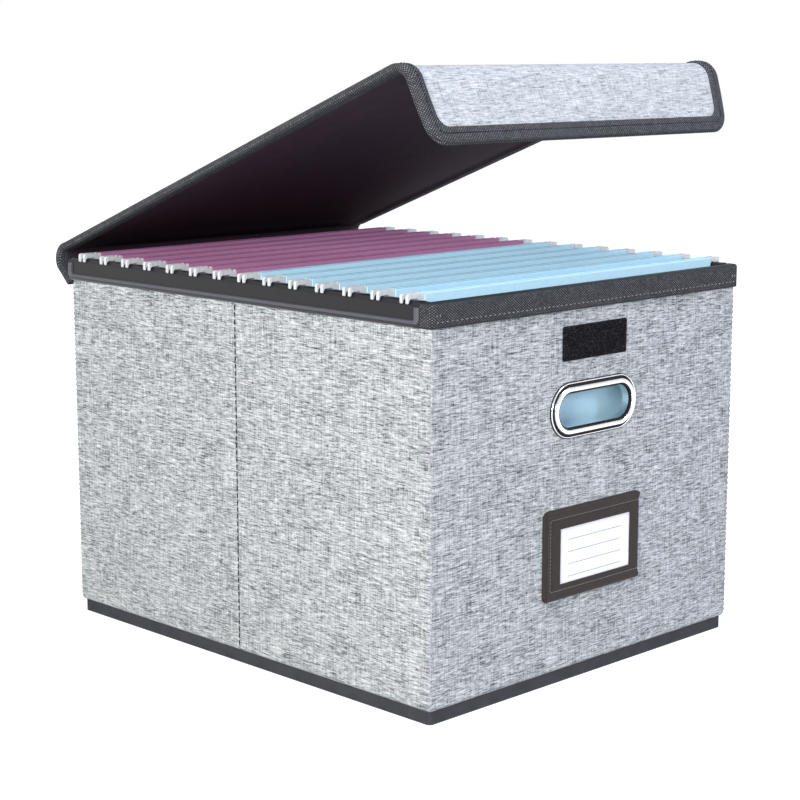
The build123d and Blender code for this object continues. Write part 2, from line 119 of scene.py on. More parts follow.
@dataclass
class Graph:
    """A new material's node tree, with short calls for the nodes that the finishes share."""

    name: str
    material: Material = field(init=False)
    tree: bpy.types.NodeTree = field(init=False)
    shader: bpy.types.Node = field(init=False)

    def __post_init__(self) -> None:
        """Makes the material, its principled shader and its output."""
        self.material = bpy.data.materials.new(self.name)
        self.tree = emptied(self.material)
        self.shader = add_node(self.tree, "ShaderNodeBsdfPrincipled")
        add_node(self.tree, "ShaderNodeOutputMaterial", {"Surface": self.shader.outputs[0]})

    def maths(self, operation: str, *values: Socket | float) -> Socket:
        """Works on numbers."""
        links = dict(enumerate(values))
        return add_node(self.tree, "ShaderNodeMath", links, operation=operation).outputs[0]

    def vector(self, operation: str, *values: Socket | tuple) -> Socket:
        """Works on vectors."""
        links = dict(enumerate(values))
        return add_node(self.tree, "ShaderNodeVectorMath", links, operation=operation).outputs[0]

    def scaled(self, vector: Socket | tuple, scale: Socket | float) -> Socket:
        """Scales a vector or a colour."""
        links = {0: vector, "Scale": scale}
        return add_node(self.tree, "ShaderNodeVectorMath", links, operation="SCALE").outputs[0]

    def axes(self, vector: Socket) -> list[Socket]:
        """Takes a vector apart."""
        return list(add_node(self.tree, "ShaderNodeSeparateXYZ", {0: vector}).outputs)

    def joined(self, across: Socket, up: Socket) -> Socket:
        """Puts two numbers into a vector."""
        return add_node(self.tree, "ShaderNodeCombineXYZ", {0: across, 1: up}).outputs[0]

    def remap(self, value: Socket, low: float, high: float, start: float = 0.0, end: float = 1.0) -> Socket:
        """Maps a number that runs from start to end to one from low to high."""
        links = {"Value": value, "From Min": start, "From Max": end, "To Min": low, "To Max": high}
        return add_node(self.tree, "ShaderNodeMapRange", links).outputs[0]

    def mix(self, share: Socket, under: Socket | tuple, over: Socket | tuple) -> Socket:
        """Lays one colour over another by a share."""
        links = {"Factor": share, 6: under, 7: over}
        return add_node(self.tree, "ShaderNodeMix", links, data_type="RGBA").outputs[2]

    def noise(
        self,
        place: Socket,
        scale: float,
        detail: float,
        rough: float = 0.5,
        flat: bool = False,
        out: int | str = 0,
    ) -> Socket:
        """Adds noise.

        Args:
            place: where it is read.
            scale: how many bumps lie on a millimetre.
            detail: how many finer layers it has.
            rough: how strong the finer layers are.
            flat: whether it lies in a plane.
            out: the output that is wanted.

        Returns:
            The socket that carries it.
        """
        links = {"Vector": place, "Scale": scale, "Detail": detail, "Roughness": rough}
        kind = "2D" if flat else "3D"
        return add_node(self.tree, "ShaderNodeTexNoise", links, noise_dimensions=kind).outputs[out]

    def place(self, grain: Grain) -> Socket:
        """Coordinates in millimetres, with the pattern's own plane in X and Y.

        Args:
            grain: how the pattern lies on the piece.

        Returns:
            The socket that carries the coordinates.
        """
        source = add_node(self.tree, "ShaderNodeTexCoord").outputs
        if grain is Grain.UPRIGHT:
            axes = self.axes(source["Object"])
            sideways = self.maths("GREATER_THAN", self.maths("ABSOLUTE", self.axes(source["Normal"])[0]), 0.7)
            links = {"Factor": sideways, 2: axes[0], 3: axes[1]}
            across = add_node(self.tree, "ShaderNodeMix", links, data_type="FLOAT").outputs[0]
            spot = self.joined(across, axes[2])
        else:
            spot = source["UV" if grain is Grain.CUT_CLOTH else "Object"]
        return self.vector("MULTIPLY", spot, (1000.0, 1000.0, 1000.0))

    def finish(
        self, inputs: dict, height: Socket | None = None, depth: float = 0.0, strength: float = 0.0
    ) -> Material:
        """Feeds the shader.

        Args:
            inputs: the shader's inputs by name, each with a socket or a number.
            height: what lifts the surface.
            depth: how far it lifts the surface, in millimetres.
            strength: how much of that shows.

        Returns:
            The material.
        """
        if height is not None:
            links = {"Height": height, "Distance": depth * MM, "Strength": strength}
            inputs["Normal"] = add_node(self.tree, "ShaderNodeBump", links).outputs[0]
        feed(self.shader, inputs)
        return self.material


@dataclass(frozen=True)
class LinenCloth:
    """Melange linen: short flecked wefts over long streaks of warp, from white through grey to charcoal.

    The real threads lie about 0.4 mm apart. They are drawn 0.6 mm apart, so that they show.
    """

    name: str
    grain: Grain
    thread: float = 0.62
    weft_run: float = 11.0
    warp_run: float = 22.0
    warp_share: float = 0.42
    crossing_share: float = 0.05
    patch_size: float = 22.0
    patch_share: float = 0.09
    sway_scale: float = 0.04
    sway: float = 0.4
    stops: tuple = (
        (0.26, "#45494d"),
        (0.395, "#8a8f90"),
        (0.50, "#adb1b2"),
        (0.60, "#c8cbcc"),
        (0.75, "#e4e5e6"),
    )

    def streaks(self, graph: Graph, along: Socket, number: Socket, run: float) -> Socket:
        """The yarn's tone, which changes along each thread and from thread to thread.

        Args:
            graph: the material's nodes.
            along: the place along the thread, in millimetres.
            number: which thread it is.
            run: how far a tone runs along the thread.

        Returns:
            The socket that carries the tone, about 0.5.
        """
        apart = 7.31
        spot = graph.joined(graph.maths("MULTIPLY", along, 1 / run), graph.maths("MULTIPLY", number, apart))
        return graph.noise(spot, 1.0, 3.0, rough=0.78, flat=True)

    def colours(self, graph: Graph, tone: Socket) -> Socket:
        """Turns the tone into the yarn's colour."""
        ramp = add_node(graph.tree, "ShaderNodeValToRGB", {0: tone})
        elements = ramp.color_ramp.elements
        elements.remove(elements[-1])
        elements[0].position, elements[0].color = self.stops[0][0], linear(self.stops[0][1])
        for place, colour in self.stops[1:]:
            elements.new(place).color = linear(colour)
        return ramp.outputs[0]

    def build(self) -> Material:
        """Makes the cloth's material."""
        graph = Graph(self.name)
        place = graph.place(self.grain)
        sway = graph.noise(place, self.sway_scale, 1.0, flat=True, out="Color")
        drift = graph.scaled(graph.vector("SUBTRACT", sway, (0.5, 0.5, 0.5)), self.sway)
        across, along, _ = graph.axes(graph.vector("ADD", place, drift))
        warp_no, weft_no = (
            graph.maths("FLOOR", graph.maths("MULTIPLY", side, 1 / self.thread)) for side in (across, along)
        )
        tone = self.streaks(graph, across, weft_no, self.weft_run)
        warp = self.streaks(graph, along, warp_no, self.warp_run)
        crossing = graph.maths("FLOORED_MODULO", graph.maths("ADD", warp_no, weft_no), 2.0)
        patch = graph.noise(place, 1 / self.patch_size, 3.0, flat=True)
        for part, share in (
            (warp, self.warp_share),
            (crossing, self.crossing_share),
            (patch, self.patch_share),
        ):
            tone = graph.maths("MULTIPLY_ADD", graph.maths("SUBTRACT", part, 0.5), share, tone)
        inputs = {"Base Color": self.colours(graph, tone), "Roughness": 0.92, "Specular IOR Level": 0.1}
        return graph.finish(inputs, tone, 0.5, 0.35)


@dataclass(frozen=True)
class TwillTape:
    """Woven cotton tape: charcoal, with the tops of its threads as a lattice of small pale dots.

    The real threads lie about 0.5 mm apart. They are drawn coarser, so that they show.
    """

    name: str
    grain: Grain
    cell_width: float = 1.2
    cell_height: float = 0.85
    ground: str = "#2a2b2f"
    crown: str = "#8b8c90"

    def build(self) -> Material:
        """Makes the tape's material."""
        graph = Graph(self.name)
        place = graph.place(self.grain)
        cells = graph.vector("MULTIPLY", place, (1 / self.cell_width, 1 / self.cell_height, 0.0))
        whole = graph.vector("FLOOR", cells)
        arch = graph.vector("SINE", graph.scaled(graph.vector("FRACTION", cells), math.pi))
        numbers, parts = graph.axes(whole), graph.axes(arch)
        on_top = graph.maths("FLOORED_MODULO", graph.maths("ADD", numbers[0], numbers[1]), 2.0)
        dot = graph.maths("MULTIPLY", graph.maths("MULTIPLY", parts[0], parts[1]), on_top)
        speck = add_node(graph.tree, "ShaderNodeTexWhiteNoise", {"Vector": whole}, noise_dimensions="2D")
        share = graph.maths("MULTIPLY", dot, graph.remap(speck.outputs[0], 0.35, 1.0))
        worn = graph.remap(graph.noise(place, 0.12, 3.0, flat=True), 0.5, 1.4)
        tone = graph.mix(graph.maths("MULTIPLY", share, worn), linear(self.ground), linear(self.crown))
        return graph.finish({"Base Color": tone, "Roughness": 0.8, "Specular IOR Level": 0.12}, dot, 0.15, 0.5)


@dataclass(frozen=True)
class MottledFinish:
    """A finish of one colour with a fine mottle and a fine relief.

    It serves moulded plastic, card, non-woven cloth, sewing thread, the black bands round the grips and
    leatherette, each with
    its own numbers: the mottle's size, how far it lightens and darkens, and the relief's depth. Pale flecks of
    a second colour may be painted into it as a painted highlight, and it may take another colour above a
    height, as a painted highlight or painted shade on the tops.
    """

    name: str
    colour: str
    roughness: float
    mottle_size: float
    mottle_depth: float
    relief_size: float
    relief_depth: float
    specular: float = 0.5
    grained: bool = False
    painted_glint: str = ""
    painted_glint_size: float = 1.0
    painted_top_colour: str = ""
    painted_top_above: float = 0.0

    def build(self) -> Material:
        """Makes the finish's material."""
        graph = Graph(self.name)
        place = graph.place(Grain.LEVEL)
        mottle = graph.noise(place, 1 / self.mottle_size, 4.0, rough=0.6)
        level = graph.remap(mottle, 1 - self.mottle_depth, 1 + self.mottle_depth, 0.3, 0.7)
        colour = graph.scaled(linear(self.colour)[:3], level)
        # Pale flecks at random: a painted highlight.
        if self.painted_glint:
            share = graph.remap(graph.noise(place, 1 / self.painted_glint_size, 1.0), 0.0, 1.0, 0.53, 0.72)
            colour = graph.mix(share, colour, linear(self.painted_glint))
        # Another colour above a height: a painted highlight or painted shade on the tops.
        if self.painted_top_colour:
            high = graph.maths("GREATER_THAN", graph.axes(place)[2], self.painted_top_above)
            colour = graph.mix(high, colour, linear(self.painted_top_colour))
        if self.grained:
            links = {"Vector": place, "Scale": 1 / self.relief_size}
            height = add_node(graph.tree, "ShaderNodeTexVoronoi", links).outputs["Distance"]
        else:
            height = graph.noise(place, 1 / self.relief_size, 2.0)
        inputs = {"Base Color": colour, "Roughness": self.roughness, "Specular IOR Level": self.specular}
        return graph.finish(inputs, height, self.relief_depth, 0.6)


@dataclass(frozen=True)
class ChromePlate:
    """Polished chrome on pressed steel, with faint polishing marks in its gloss."""

    name: str = "polished_chrome_plate"
    colour: str = "#eceef0"

    def build(self) -> Material:
        """Makes the plate's material."""
        graph = Graph(self.name)
        gloss = graph.remap(graph.noise(graph.place(Grain.LEVEL), 0.8, 4.0), 0.03, 0.14)
        return graph.finish({"Base Color": linear(self.colour), "Metallic": 1.0, "Roughness": gloss})


@dataclass(frozen=True)
class RuledCard:
    """White index card with plain ruled lines, and nothing written on it."""

    name: str = "ruled_white_card"
    paper: str = "#fbfbfc"
    ink: str = "#8c94a4"
    first_line: float = 98.0
    line_pitch: float = 8.4
    line_width: float = 0.5
    middle_x: float = 3.2
    half_length: float = 27.5
    lowest: float = 72.0
    highest: float = 100.0

    def build(self) -> Material:
        """Makes the card's material."""
        graph = Graph(self.name)
        place = graph.place(Grain.UPRIGHT)
        across, up, _ = graph.axes(place)
        wrapped = graph.maths(
            "FLOORED_MODULO", graph.maths("SUBTRACT", up, self.first_line), self.line_pitch
        )
        aside = graph.maths("ABSOLUTE", graph.maths("SUBTRACT", across, self.middle_x))
        mask = graph.maths("LESS_THAN", wrapped, self.line_width)
        for limit in (
            graph.maths("LESS_THAN", aside, self.half_length),
            graph.maths("GREATER_THAN", up, self.lowest),
            graph.maths("LESS_THAN", up, self.highest),
        ):
            mask = graph.maths("MULTIPLY", mask, limit)
        fibre = graph.noise(place, 1.2, 3.0)
        tone = graph.mix(mask, linear(self.paper), linear(self.ink))
        tone = graph.scaled(tone, graph.remap(fibre, 0.97, 1.0))
        return graph.finish({"Base Color": tone, "Roughness": 0.6}, fibre, 0.03, 0.4)


def made(finish: LinenCloth | TwillTape | MottledFinish | ChromePlate | RuledCard) -> Material:
    """A field that holds a finish's material, made once."""
    return field(default_factory=finish.build)


@dataclass(frozen=True)
class Finishes:
    """Every finish on the box, made once and shared by the pieces that wear it."""

    wall_linen: Material = made(LinenCloth("melange_linen_walls", Grain.UPRIGHT))
    # The lid wears the same linen, painted lighter in its dark and middle tones than on the walls: painted
    # light.
    lid_linen: Material = made(
        LinenCloth(
            "melange_linen_lid",
            Grain.CUT_CLOTH,
            stops=(
                (0.22, "#686d71"),
                (0.37, "#a2a7a9"),
                (0.50, "#bbbfc1"),
                (0.62, "#cdd0d2"),
                (0.80, "#e0e2e3"),
            ),
        )
    )
    wall_twill: Material = made(TwillTape("twill_tape_walls", Grain.UPRIGHT))
    # The lid's tape is the same, painted paler than on the walls: painted light.
    lid_twill: Material = made(TwillTape("twill_tape_lid", Grain.CUT_CLOTH, 1.15, 0.9, "#2f3034", "#97999c"))
    # Where the tape turns over the rim's top and runs along its foot, it is painted nearly black with a teal
    # cast: painted shade, and on the top a painted reflection of the blue folders.
    pressed_twill: Material = made(
        MottledFinish("pressed_twill_edge", "#1d2529", 0.6, 1.5, 0.3, 0.6, 0.05, specular=0.2)
    )
    # Black under the grips, dull and nearly featureless: a band round each ring and a lip over its inner edge,
    # painted shadow and painted dark reflection of the chrome.
    gasket: Material = made(
        MottledFinish("black_rubber_gasket", "#060607", 0.6, 3, 0.1, 0.5, 0.02, specular=0.2)
    )
    # Satin non-woven lining: nearly black plum, faintly clouded.
    lining: Material = made(
        MottledFinish("satin_nonwoven_lining", "#41323c", 0.75, 14, 0.10, 0.5, 0.03, specular=0.08)
    )
    # Spun polyester sewing threads: matt, with the twist as a fine relief.
    thread_dark: Material = made(
        MottledFinish("dark_sewing_thread", "#141416", 0.9, 0.6, 0.2, 0.3, 0.06, specular=0.1)
    )
    thread_grey: Material = made(MottledFinish("grey_sewing_thread", "#9a9da1", 0.8, 0.6, 0.2, 0.3, 0.06))
    thread_beige: Material = made(MottledFinish("beige_sewing_thread", "#7f7871", 0.8, 0.6, 0.2, 0.3, 0.06))
    # Embossed leatherette: pebbled grain about 0.9 mm across, with a dull gloss on the crowns.
    leatherette: Material = made(
        MottledFinish("embossed_leatherette", "#2e2825", 0.55, 6, 0.12, 0.9, 0.10, specular=0.18, grained=True)
    )
    chrome: Material = made(ChromePlate())
    card: Material = made(RuledCard())
    # Extruded rigid plastic: satin, with a trace of die lines.
    rail: Material = made(
        MottledFinish("extruded_rail_plastic", "#1b1b1f", 0.32, 9, 0.05, 1.2, 0.02, specular=0.32)
    )
    # The rail's rib is painted pale above 254.7 mm, along its crown and up its two ends, and stays dark along
    # its foot: a painted highlight.
    rail_rib: Material = made(
        MottledFinish(
            "rubbed_rail_rib", "#1e1e22", 0.28, 9, 0.08, 1.2, 0.02, specular=0.35,
            painted_top_colour="#54555b", painted_top_above=254.7,
        )
    )
    hanger: Material = made(MottledFinish("moulded_white_plastic", "#d5d9da", 0.35, 5, 0.015, 0.8, 0.0))
    # Coloured card stock: matt, with short fibres in it. Above 272.25 mm, on the folders' tops, it is painted
    # darker: painted shade for the dark lines between the folders.
    mauve: Material = made(
        MottledFinish(
            "mauve_card_stock", "#bc80a8", 0.72, 3, 0.04, 0.5, 0.03, specular=0.3,
            painted_top_colour="#84557a", painted_top_above=272.25,
        )
    )
    blue: Material = made(
        MottledFinish(
            "blue_card_stock", "#c6efff", 0.72, 3, 0.03, 0.5, 0.03, specular=0.3,
            painted_top_colour="#8fbfd8", painted_top_above=272.25,
        )
    )
    base_cloth: Material = made(
        MottledFinish("black_nonwoven_cloth", "#26262a", 0.9, 2, 0.2, 0.6, 0.1, specular=0.2)
    )
    # Nylon loops: black, with pale flecks painted in at random for the tops of the loops catching the light: a
    # painted highlight.
    hook_and_loop: Material = made(
        MottledFinish(
            "nylon_hook_and_loop", "#101013", 0.8, 0.9, 0.5, 0.6, 0.5, specular=0.08,
            painted_glint="#45464b", painted_glint_size=0.8,
        )
    )


def clear_selection() -> None:
    """Deselects every object."""
    bpy.ops.object.select_all(action="DESELECT")


def select_only(piece: Piece) -> None:
    """Selects one piece alone and makes it active."""
    clear_selection()
    piece.select_set(True)
    bpy.context.view_layer.objects.active = piece


@contextmanager
def editing(piece: Piece) -> Iterator[None]:
    """Opens one piece in edit mode, alone, and closes it again."""
    select_only(piece)
    bpy.ops.object.mode_set(mode="EDIT")
    try:
        yield
    finally:
        bpy.ops.object.mode_set(mode="OBJECT")


def pick(piece: Piece, kind: str, test: Callable) -> None:
    """Selects, in edit mode, the elements of a kind that pass a test.

    Args:
        piece: the piece that is open in edit mode.
        kind: VERT, EDGE or FACE.
        test: called with the element and its middle in millimetres.
    """
    bpy.ops.mesh.select_mode(type=kind)
    bpy.ops.mesh.select_all(action="DESELECT")
    edit = bmesh.from_edit_mesh(piece.data)
    for item in {"VERT": edit.verts, "EDGE": edit.edges, "FACE": edit.faces}[kind]:
        corners = [item] if kind == "VERT" else item.verts
        middle = sum((corner.co for corner in corners), Vector()) / len(corners)
        if test(item, middle / MM):
            item.select_set(True)
    edit.select_flush_mode()
    bmesh.update_edit_mesh(piece.data)


def span(edge: bmesh.types.BMEdge, axis: int) -> float:
    """How far an edge runs along an axis, in millimetres."""
    return abs(edge.verts[0].co[axis] - edge.verts[1].co[axis]) / MM


def named(name: str) -> Piece:
    """Names the piece that was just added."""
    piece = bpy.context.object
    piece.name = piece.data.name = name
    return piece


def block(name: str, low: tuple, high: tuple) -> Piece:
    """A rectangular block to be shaped further, between two corners in millimetres.

    Args:
        name: the piece's name.
        low: its lowest corner.
        high: its highest corner.

    Returns:
        The piece, at the origin, with its place in its mesh.
    """
    clear_selection()
    centre = [(a + b) / 2 * MM for a, b in zip(low, high)]
    size = [(b - a) * MM for a, b in zip(low, high)]
    bpy.ops.mesh.primitive_cube_add(size=1, location=centre, scale=size)
    bpy.ops.object.transform_apply(location=True, rotation=True, scale=True)
    return named(name)


def polygon(name: str, points: list[tuple], fill: str = "NGON") -> Piece:
    """A polygon, or only its outline, to be swept further.

    Args:
        name: the piece's name.
        points: its corners, in millimetres.
        fill: NGON for a face, NOTHING for the outline.

    Returns:
        The piece.
    """
    clear_selection()
    bpy.ops.mesh.primitive_circle_add(vertices=len(points), radius=1, fill_type=fill, location=(0, 0, 0))
    piece = named(name)
    for vertex, point in zip(piece.data.vertices, points):
        vertex.co = [value * MM for value in point]
    return piece


def select_mesh() -> None:
    """Selects all of the piece that is open in edit mode."""
    bpy.ops.mesh.select_all(action="SELECT")


def face_out(merge: bool = False) -> None:
    """Turns the open piece's faces outwards, after its doubles are merged where it was spun."""
    select_mesh()
    if merge:
        bpy.ops.mesh.remove_doubles(threshold=0.02 * MM)
    bpy.ops.mesh.normals_make_consistent(inside=False)


def extrude(x: float, y: float, z: float) -> None:
    """Extrudes what is selected in edit mode by a way in millimetres."""
    bpy.ops.mesh.extrude_region_move(TRANSFORM_OT_translate={"value": (x * MM, y * MM, z * MM)})


def spin(steps: int, angle: float, centre: tuple, axis: tuple) -> None:
    """Turns what is selected in edit mode about a centre in millimetres, as a swept wall."""
    bpy.ops.mesh.spin(steps=steps, angle=angle, center=[value * MM for value in centre], axis=axis)


def bevel_picked(offset: float, segments: int, affect: str = "EDGES") -> None:
    """Rounds what is selected in edit mode, by an offset in millimetres."""
    bpy.ops.mesh.bevel(offset=offset * MM, segments=segments, affect=affect, profile=0.5, clamp_overlap=True)


def cut_across(axis: int, places: list[float]) -> None:
    """Adds edges across the open piece at places along an axis, in millimetres."""
    normal = Vector([float(i == axis) for i in range(3)])
    for place in places:
        select_mesh()
        bpy.ops.mesh.bisect(plane_co=normal * place * MM, plane_no=normal)


def smooth(piece: Piece, degrees: float) -> None:
    """Shades a piece smooth, apart from edges sharper than an angle."""
    select_only(piece)
    bpy.ops.object.shade_smooth_by_angle(angle=math.radians(degrees))


def dress(piece: Piece, material: Material) -> None:
    """Gives a piece one material and no other."""
    piece.data.materials.clear()
    piece.data.materials.append(material)


def move_points(piece: Piece, rule: Callable[[Vector], Vector]) -> None:
    """Moves each point of a piece by a rule on its place in millimetres."""
    for vertex in piece.data.vertices:
        vertex.co = rule(vertex.co / MM) * MM
    piece.data.update()


def share_of(value: float, start: float, end: float) -> float:
    """How far a value has come from a start to an end, from 0 to 1."""
    return min(max((value - start) / (end - start), 0.0), 1.0)


def report(piece: Piece) -> None:
    """Says that a piece is made."""
    log.info("%s: %d faces", piece.name, len(piece.data.polygons))


@dataclass
class Stitch:
    """One stitch of sewing thread, modelled once and copied along a seam."""

    length: float
    thickness: float

    def model(self) -> bpy.types.Mesh:
        """Models the stitch about the origin, lying along X with Z up.

        Returns:
            Its mesh, in millimetres.
        """
        clear_selection()
        bpy.ops.mesh.primitive_uv_sphere_add(segments=6, ring_count=5, radius=0.5, location=(0, 0, 0))
        template = bpy.context.object
        with editing(template):
            select_mesh()
            bpy.ops.transform.rotate(value=QUARTER, orient_axis="Y", center_override=(0, 0, 0))
            bpy.ops.transform.resize(value=(self.length, self.thickness, self.thickness * 0.8))
            pick(template, "VERT", lambda vertex, _: abs(vertex.co.x) < self.length * 0.42)
            bpy.ops.transform.resize(value=(1.25, 1.0, 1.0), center_override=(0, 0, 0))
        mesh = template.data
        bpy.data.objects.remove(template)
        return mesh

    def sew(self, name: str, places: list[Matrix], material: Material) -> Piece:
        """Copies the stitch to each place.

        Args:
            name: the seam's name.
            places: a matrix for each stitch, in millimetres.
            material: the thread.

        Returns:
            The seam as one piece.
        """
        template = self.model()
        shape = [vertex.co.copy() for vertex in template.vertices]
        outline = [list(face.vertices) for face in template.polygons]
        bpy.data.meshes.remove(template)
        points, faces = [], []
        for place in places:
            start = len(points)
            points.extend((place @ point) * MM for point in shape)
            faces.extend([start + index for index in face] for face in outline)
        mesh = bpy.data.meshes.new(name)
        mesh.from_pydata(points, [], faces)
        mesh.validate()
        seam = bpy.data.objects.new(name, mesh)
        bpy.context.scene.collection.objects.link(seam)
        dress(seam, material)
        smooth(seam, 60)
        report(seam)
        return seam


def stitch_place(point: Vector, forward: Vector, outward: Vector) -> Matrix:
    """Where one stitch lies.

    Args:
        point: its middle, in millimetres.
        forward: the way that the seam runs.
        outward: the way that the cloth faces.

    Returns:
        The matrix that brings the modelled stitch there.
    """
    ahead = forward.normalized()
    up = (outward - outward.dot(ahead) * ahead).normalized()
    turn = Matrix((ahead, up.cross(ahead), up)).transposed().to_4x4()
    return Matrix.Translation(point) @ turn


def straight_seam(start: tuple, end: tuple, outward: tuple, pitch: float) -> list[Matrix]:
    """Places for stitches on a straight seam.

    Args:
        start: one end, in millimetres.
        end: the other end.
        outward: the way that the cloth faces.
        pitch: the distance from one stitch to the next.

    Returns:
        A matrix for each stitch.
    """
    first, up = Vector(start), Vector(outward)
    run = Vector(end) - first
    count = max(int(run.length / pitch), 1)
    return [stitch_place(first + run * ((i + 0.5) / count), run, up) for i in range(count)]


@dataclass
class LidCloth:
    """The lid's board, lining, binding and stitches.

    They are modelled flat, as they are cut and sewn: X across the lid, Y along the cloth from the
    hinge to the front flap's foot, and Z out of the cloth. Then the folds are laid in.
    """

    width: float = 307.8
    board: float = 4.4
    skin: float = 0.6
    rear_radius: float = 11.0
    front_radius: float = 15.2
    hinge: tuple = (193.1, 250.2)
    top_z: float = 278.3
    front_skin_y: float = -191.6
    rear_lean: float = 12.0
    drop: float = 56.3
    taper: float = 7.5
    bulge: float = 0.9
    corner: float = 12.0
    inner_corner: float = 7.5
    binding_leg: float = 11.0
    open_angle: float = 20.9
    belly: float = 4.5
    linen_top: float = 1.3
    lining_recess: float = 2.0
    lining_roll: float = 7.0
    lining_ramp: float = 14.0
    stitch_from_edge: float = 6.8
    stitch_pitch: float = 2.3
    foot: float = -1.8
    bead: float = field(init=False)
    runs: list = field(init=False)
    total: float = field(init=False)

    def __post_init__(self) -> None:
        """Works out the folded line of the board's middle, as straight runs and arcs."""
        self.bead = self.board / 2 + self.skin
        rear_middle, front_middle = self.rear_radius - self.board / 2, self.front_radius - self.board / 2
        lean = math.radians(self.rear_lean)
        height = self.top_z - self.bead - self.hinge[1]
        rear_turn = QUARTER + lean
        rear_tangent = rear_middle * math.tan(rear_turn / 2)
        depth = self.hinge[0] + height * math.tan(lean) - self.front_skin_y + self.bead
        lengths = (
            (height / math.cos(lean) - rear_tangent, 0.0),
            (rear_middle * rear_turn, rear_middle),
            (depth - rear_tangent - front_middle, 0.0),
            (front_middle * QUARTER, front_middle),
            (self.drop - self.bead - front_middle, 0.0),
        )
        start, place, heading = 0.0, Vector(self.hinge), QUARTER - lean
        self.runs = []
        for length, radius in lengths:
            run = (start, start + length, radius, place, heading)
            self.runs.append(run)
            place, ahead = self.walk(run, length, 0.0)
            heading = math.atan2(ahead.y, ahead.x) % (2 * math.pi) if radius else heading
            start += length
        self.total = start

    def walk(self, run: tuple, length: float, height: float) -> tuple[Vector, Vector]:
        """Goes a length along a run, at a height over the board's middle.

        Args:
            run: its start and end along the cloth, its radius, its first point and its heading.
            length: how far from its start.
            height: how far out of the cloth.

        Returns:
            The point reached, and the way that the cloth runs there.
        """
        _, _, radius, place, heading = run
        ahead = Vector((math.cos(heading), math.sin(heading)))
        out = Vector((ahead.y, -ahead.x))
        if not radius:
            return place + length * ahead + height * out, ahead
        turned = heading + length / radius
        ahead = Vector((math.cos(turned), math.sin(turned)))
        return place - radius * out + (radius + height) * Vector((ahead.y, -ahead.x)), ahead

    @property
    def middle(self) -> float:
        """Where the top's middle lies along the cloth."""
        return (self.runs[2][0] + self.runs[2][1]) / 2

    def half_width(self, along: float) -> float:
        """Half the lid's width at a place along the cloth, narrower towards the front flap's foot."""
        share = share_of(along, self.runs[3][1], self.total)
        return self.width / 2 - self.taper * share + 4 * self.bulge * share * (1 - share)

    def slack(self, along: float) -> float:
        """How far the soft rear flap bellies out at a place along the cloth."""
        return self.belly * math.sin(math.pi * share_of(along, 0.0, self.runs[1][1]) ** 0.6)

    def lining_rise(self, point: Vector) -> Vector:
        """Lifts a point of the flat lining into the top's recess, rolled down along both sides."""
        start, end = self.runs[2][0], self.runs[2][1]
        ends = share_of(min(point.y - start, end - point.y), 0.0, self.lining_ramp)
        side = share_of(self.width / 2 - self.binding_leg - abs(point.x), 0.0, self.lining_roll)
        rise = self.lining_recess * ends * (0.15 + 0.85 * math.sin(side * QUARTER))
        return point + Vector((0, 0, rise))

    def fold(self, flat: Vector) -> Vector:
        """Brings a point of the flat cloth to its place on the open lid, in millimetres."""
        run = next((r for r in self.runs if flat.y <= r[1]), self.runs[-1])
        point, _ = self.walk(run, flat.y - run[0], flat.z + self.slack(flat.y))
        turn = Matrix.Rotation(math.radians(-self.open_angle), 2)
        opened = turn @ (point - Vector(self.hinge)) + Vector(self.hinge)
        return Vector((flat.x * self.half_width(flat.y) / (self.width / 2), *opened))

    def fold_cuts(self) -> list[float]:
        """Places along the cloth where the folded pieces need edges."""
        cuts = []
        for start, end, radius, _, _ in self.runs:
            steps = 12 if radius else max(int((end - start) / 12), 1)
            cuts.extend(start + (end - start) * i / steps for i in range(steps))
        return cuts[1:]

    def cloth_pattern(self, piece: Piece) -> None:
        """Gives a flat piece its own flat pattern as a UV map, in metres."""
        mesh = piece.data
        for layer in list(mesh.uv_layers):
            mesh.uv_layers.remove(layer)
        layer = mesh.uv_layers.new(name="cut_cloth")
        for face in mesh.polygons:
            walls = [abs(face.normal[axis]) > 0.7 for axis in (0, 1)]
            for loop in face.loop_indices:
                point = mesh.vertices[mesh.loops[loop].vertex_index].co
                layer.data[loop].uv = [point[axis] + point.z * walls[axis] for axis in (0, 1)]

    def flat_sheet(self, name: str, inset: float, low: float, high: float) -> Piece:
        """A flat board or sheet with the lid's outline.

        Args:
            name: the piece's name.
            inset: how far it stays inside the lid's outline.
            low: its lower face's height over the board's middle.
            high: its upper face's height.

        Returns:
            The flat piece.
        """
        half, end = self.width / 2 - inset, self.total - inset
        piece = block(name, (-half, self.foot, low), (half, end, high))
        with editing(piece):
            pick(
                piece,
                "EDGE",
                lambda edge, middle: middle.y > end - 1 and abs(middle.x) > half - 1 and span(edge, 2) > 0.1,
            )
            bevel_picked(max(self.corner - inset, 1.0), 8)
            cut_across(1, self.fold_cuts())
        return piece

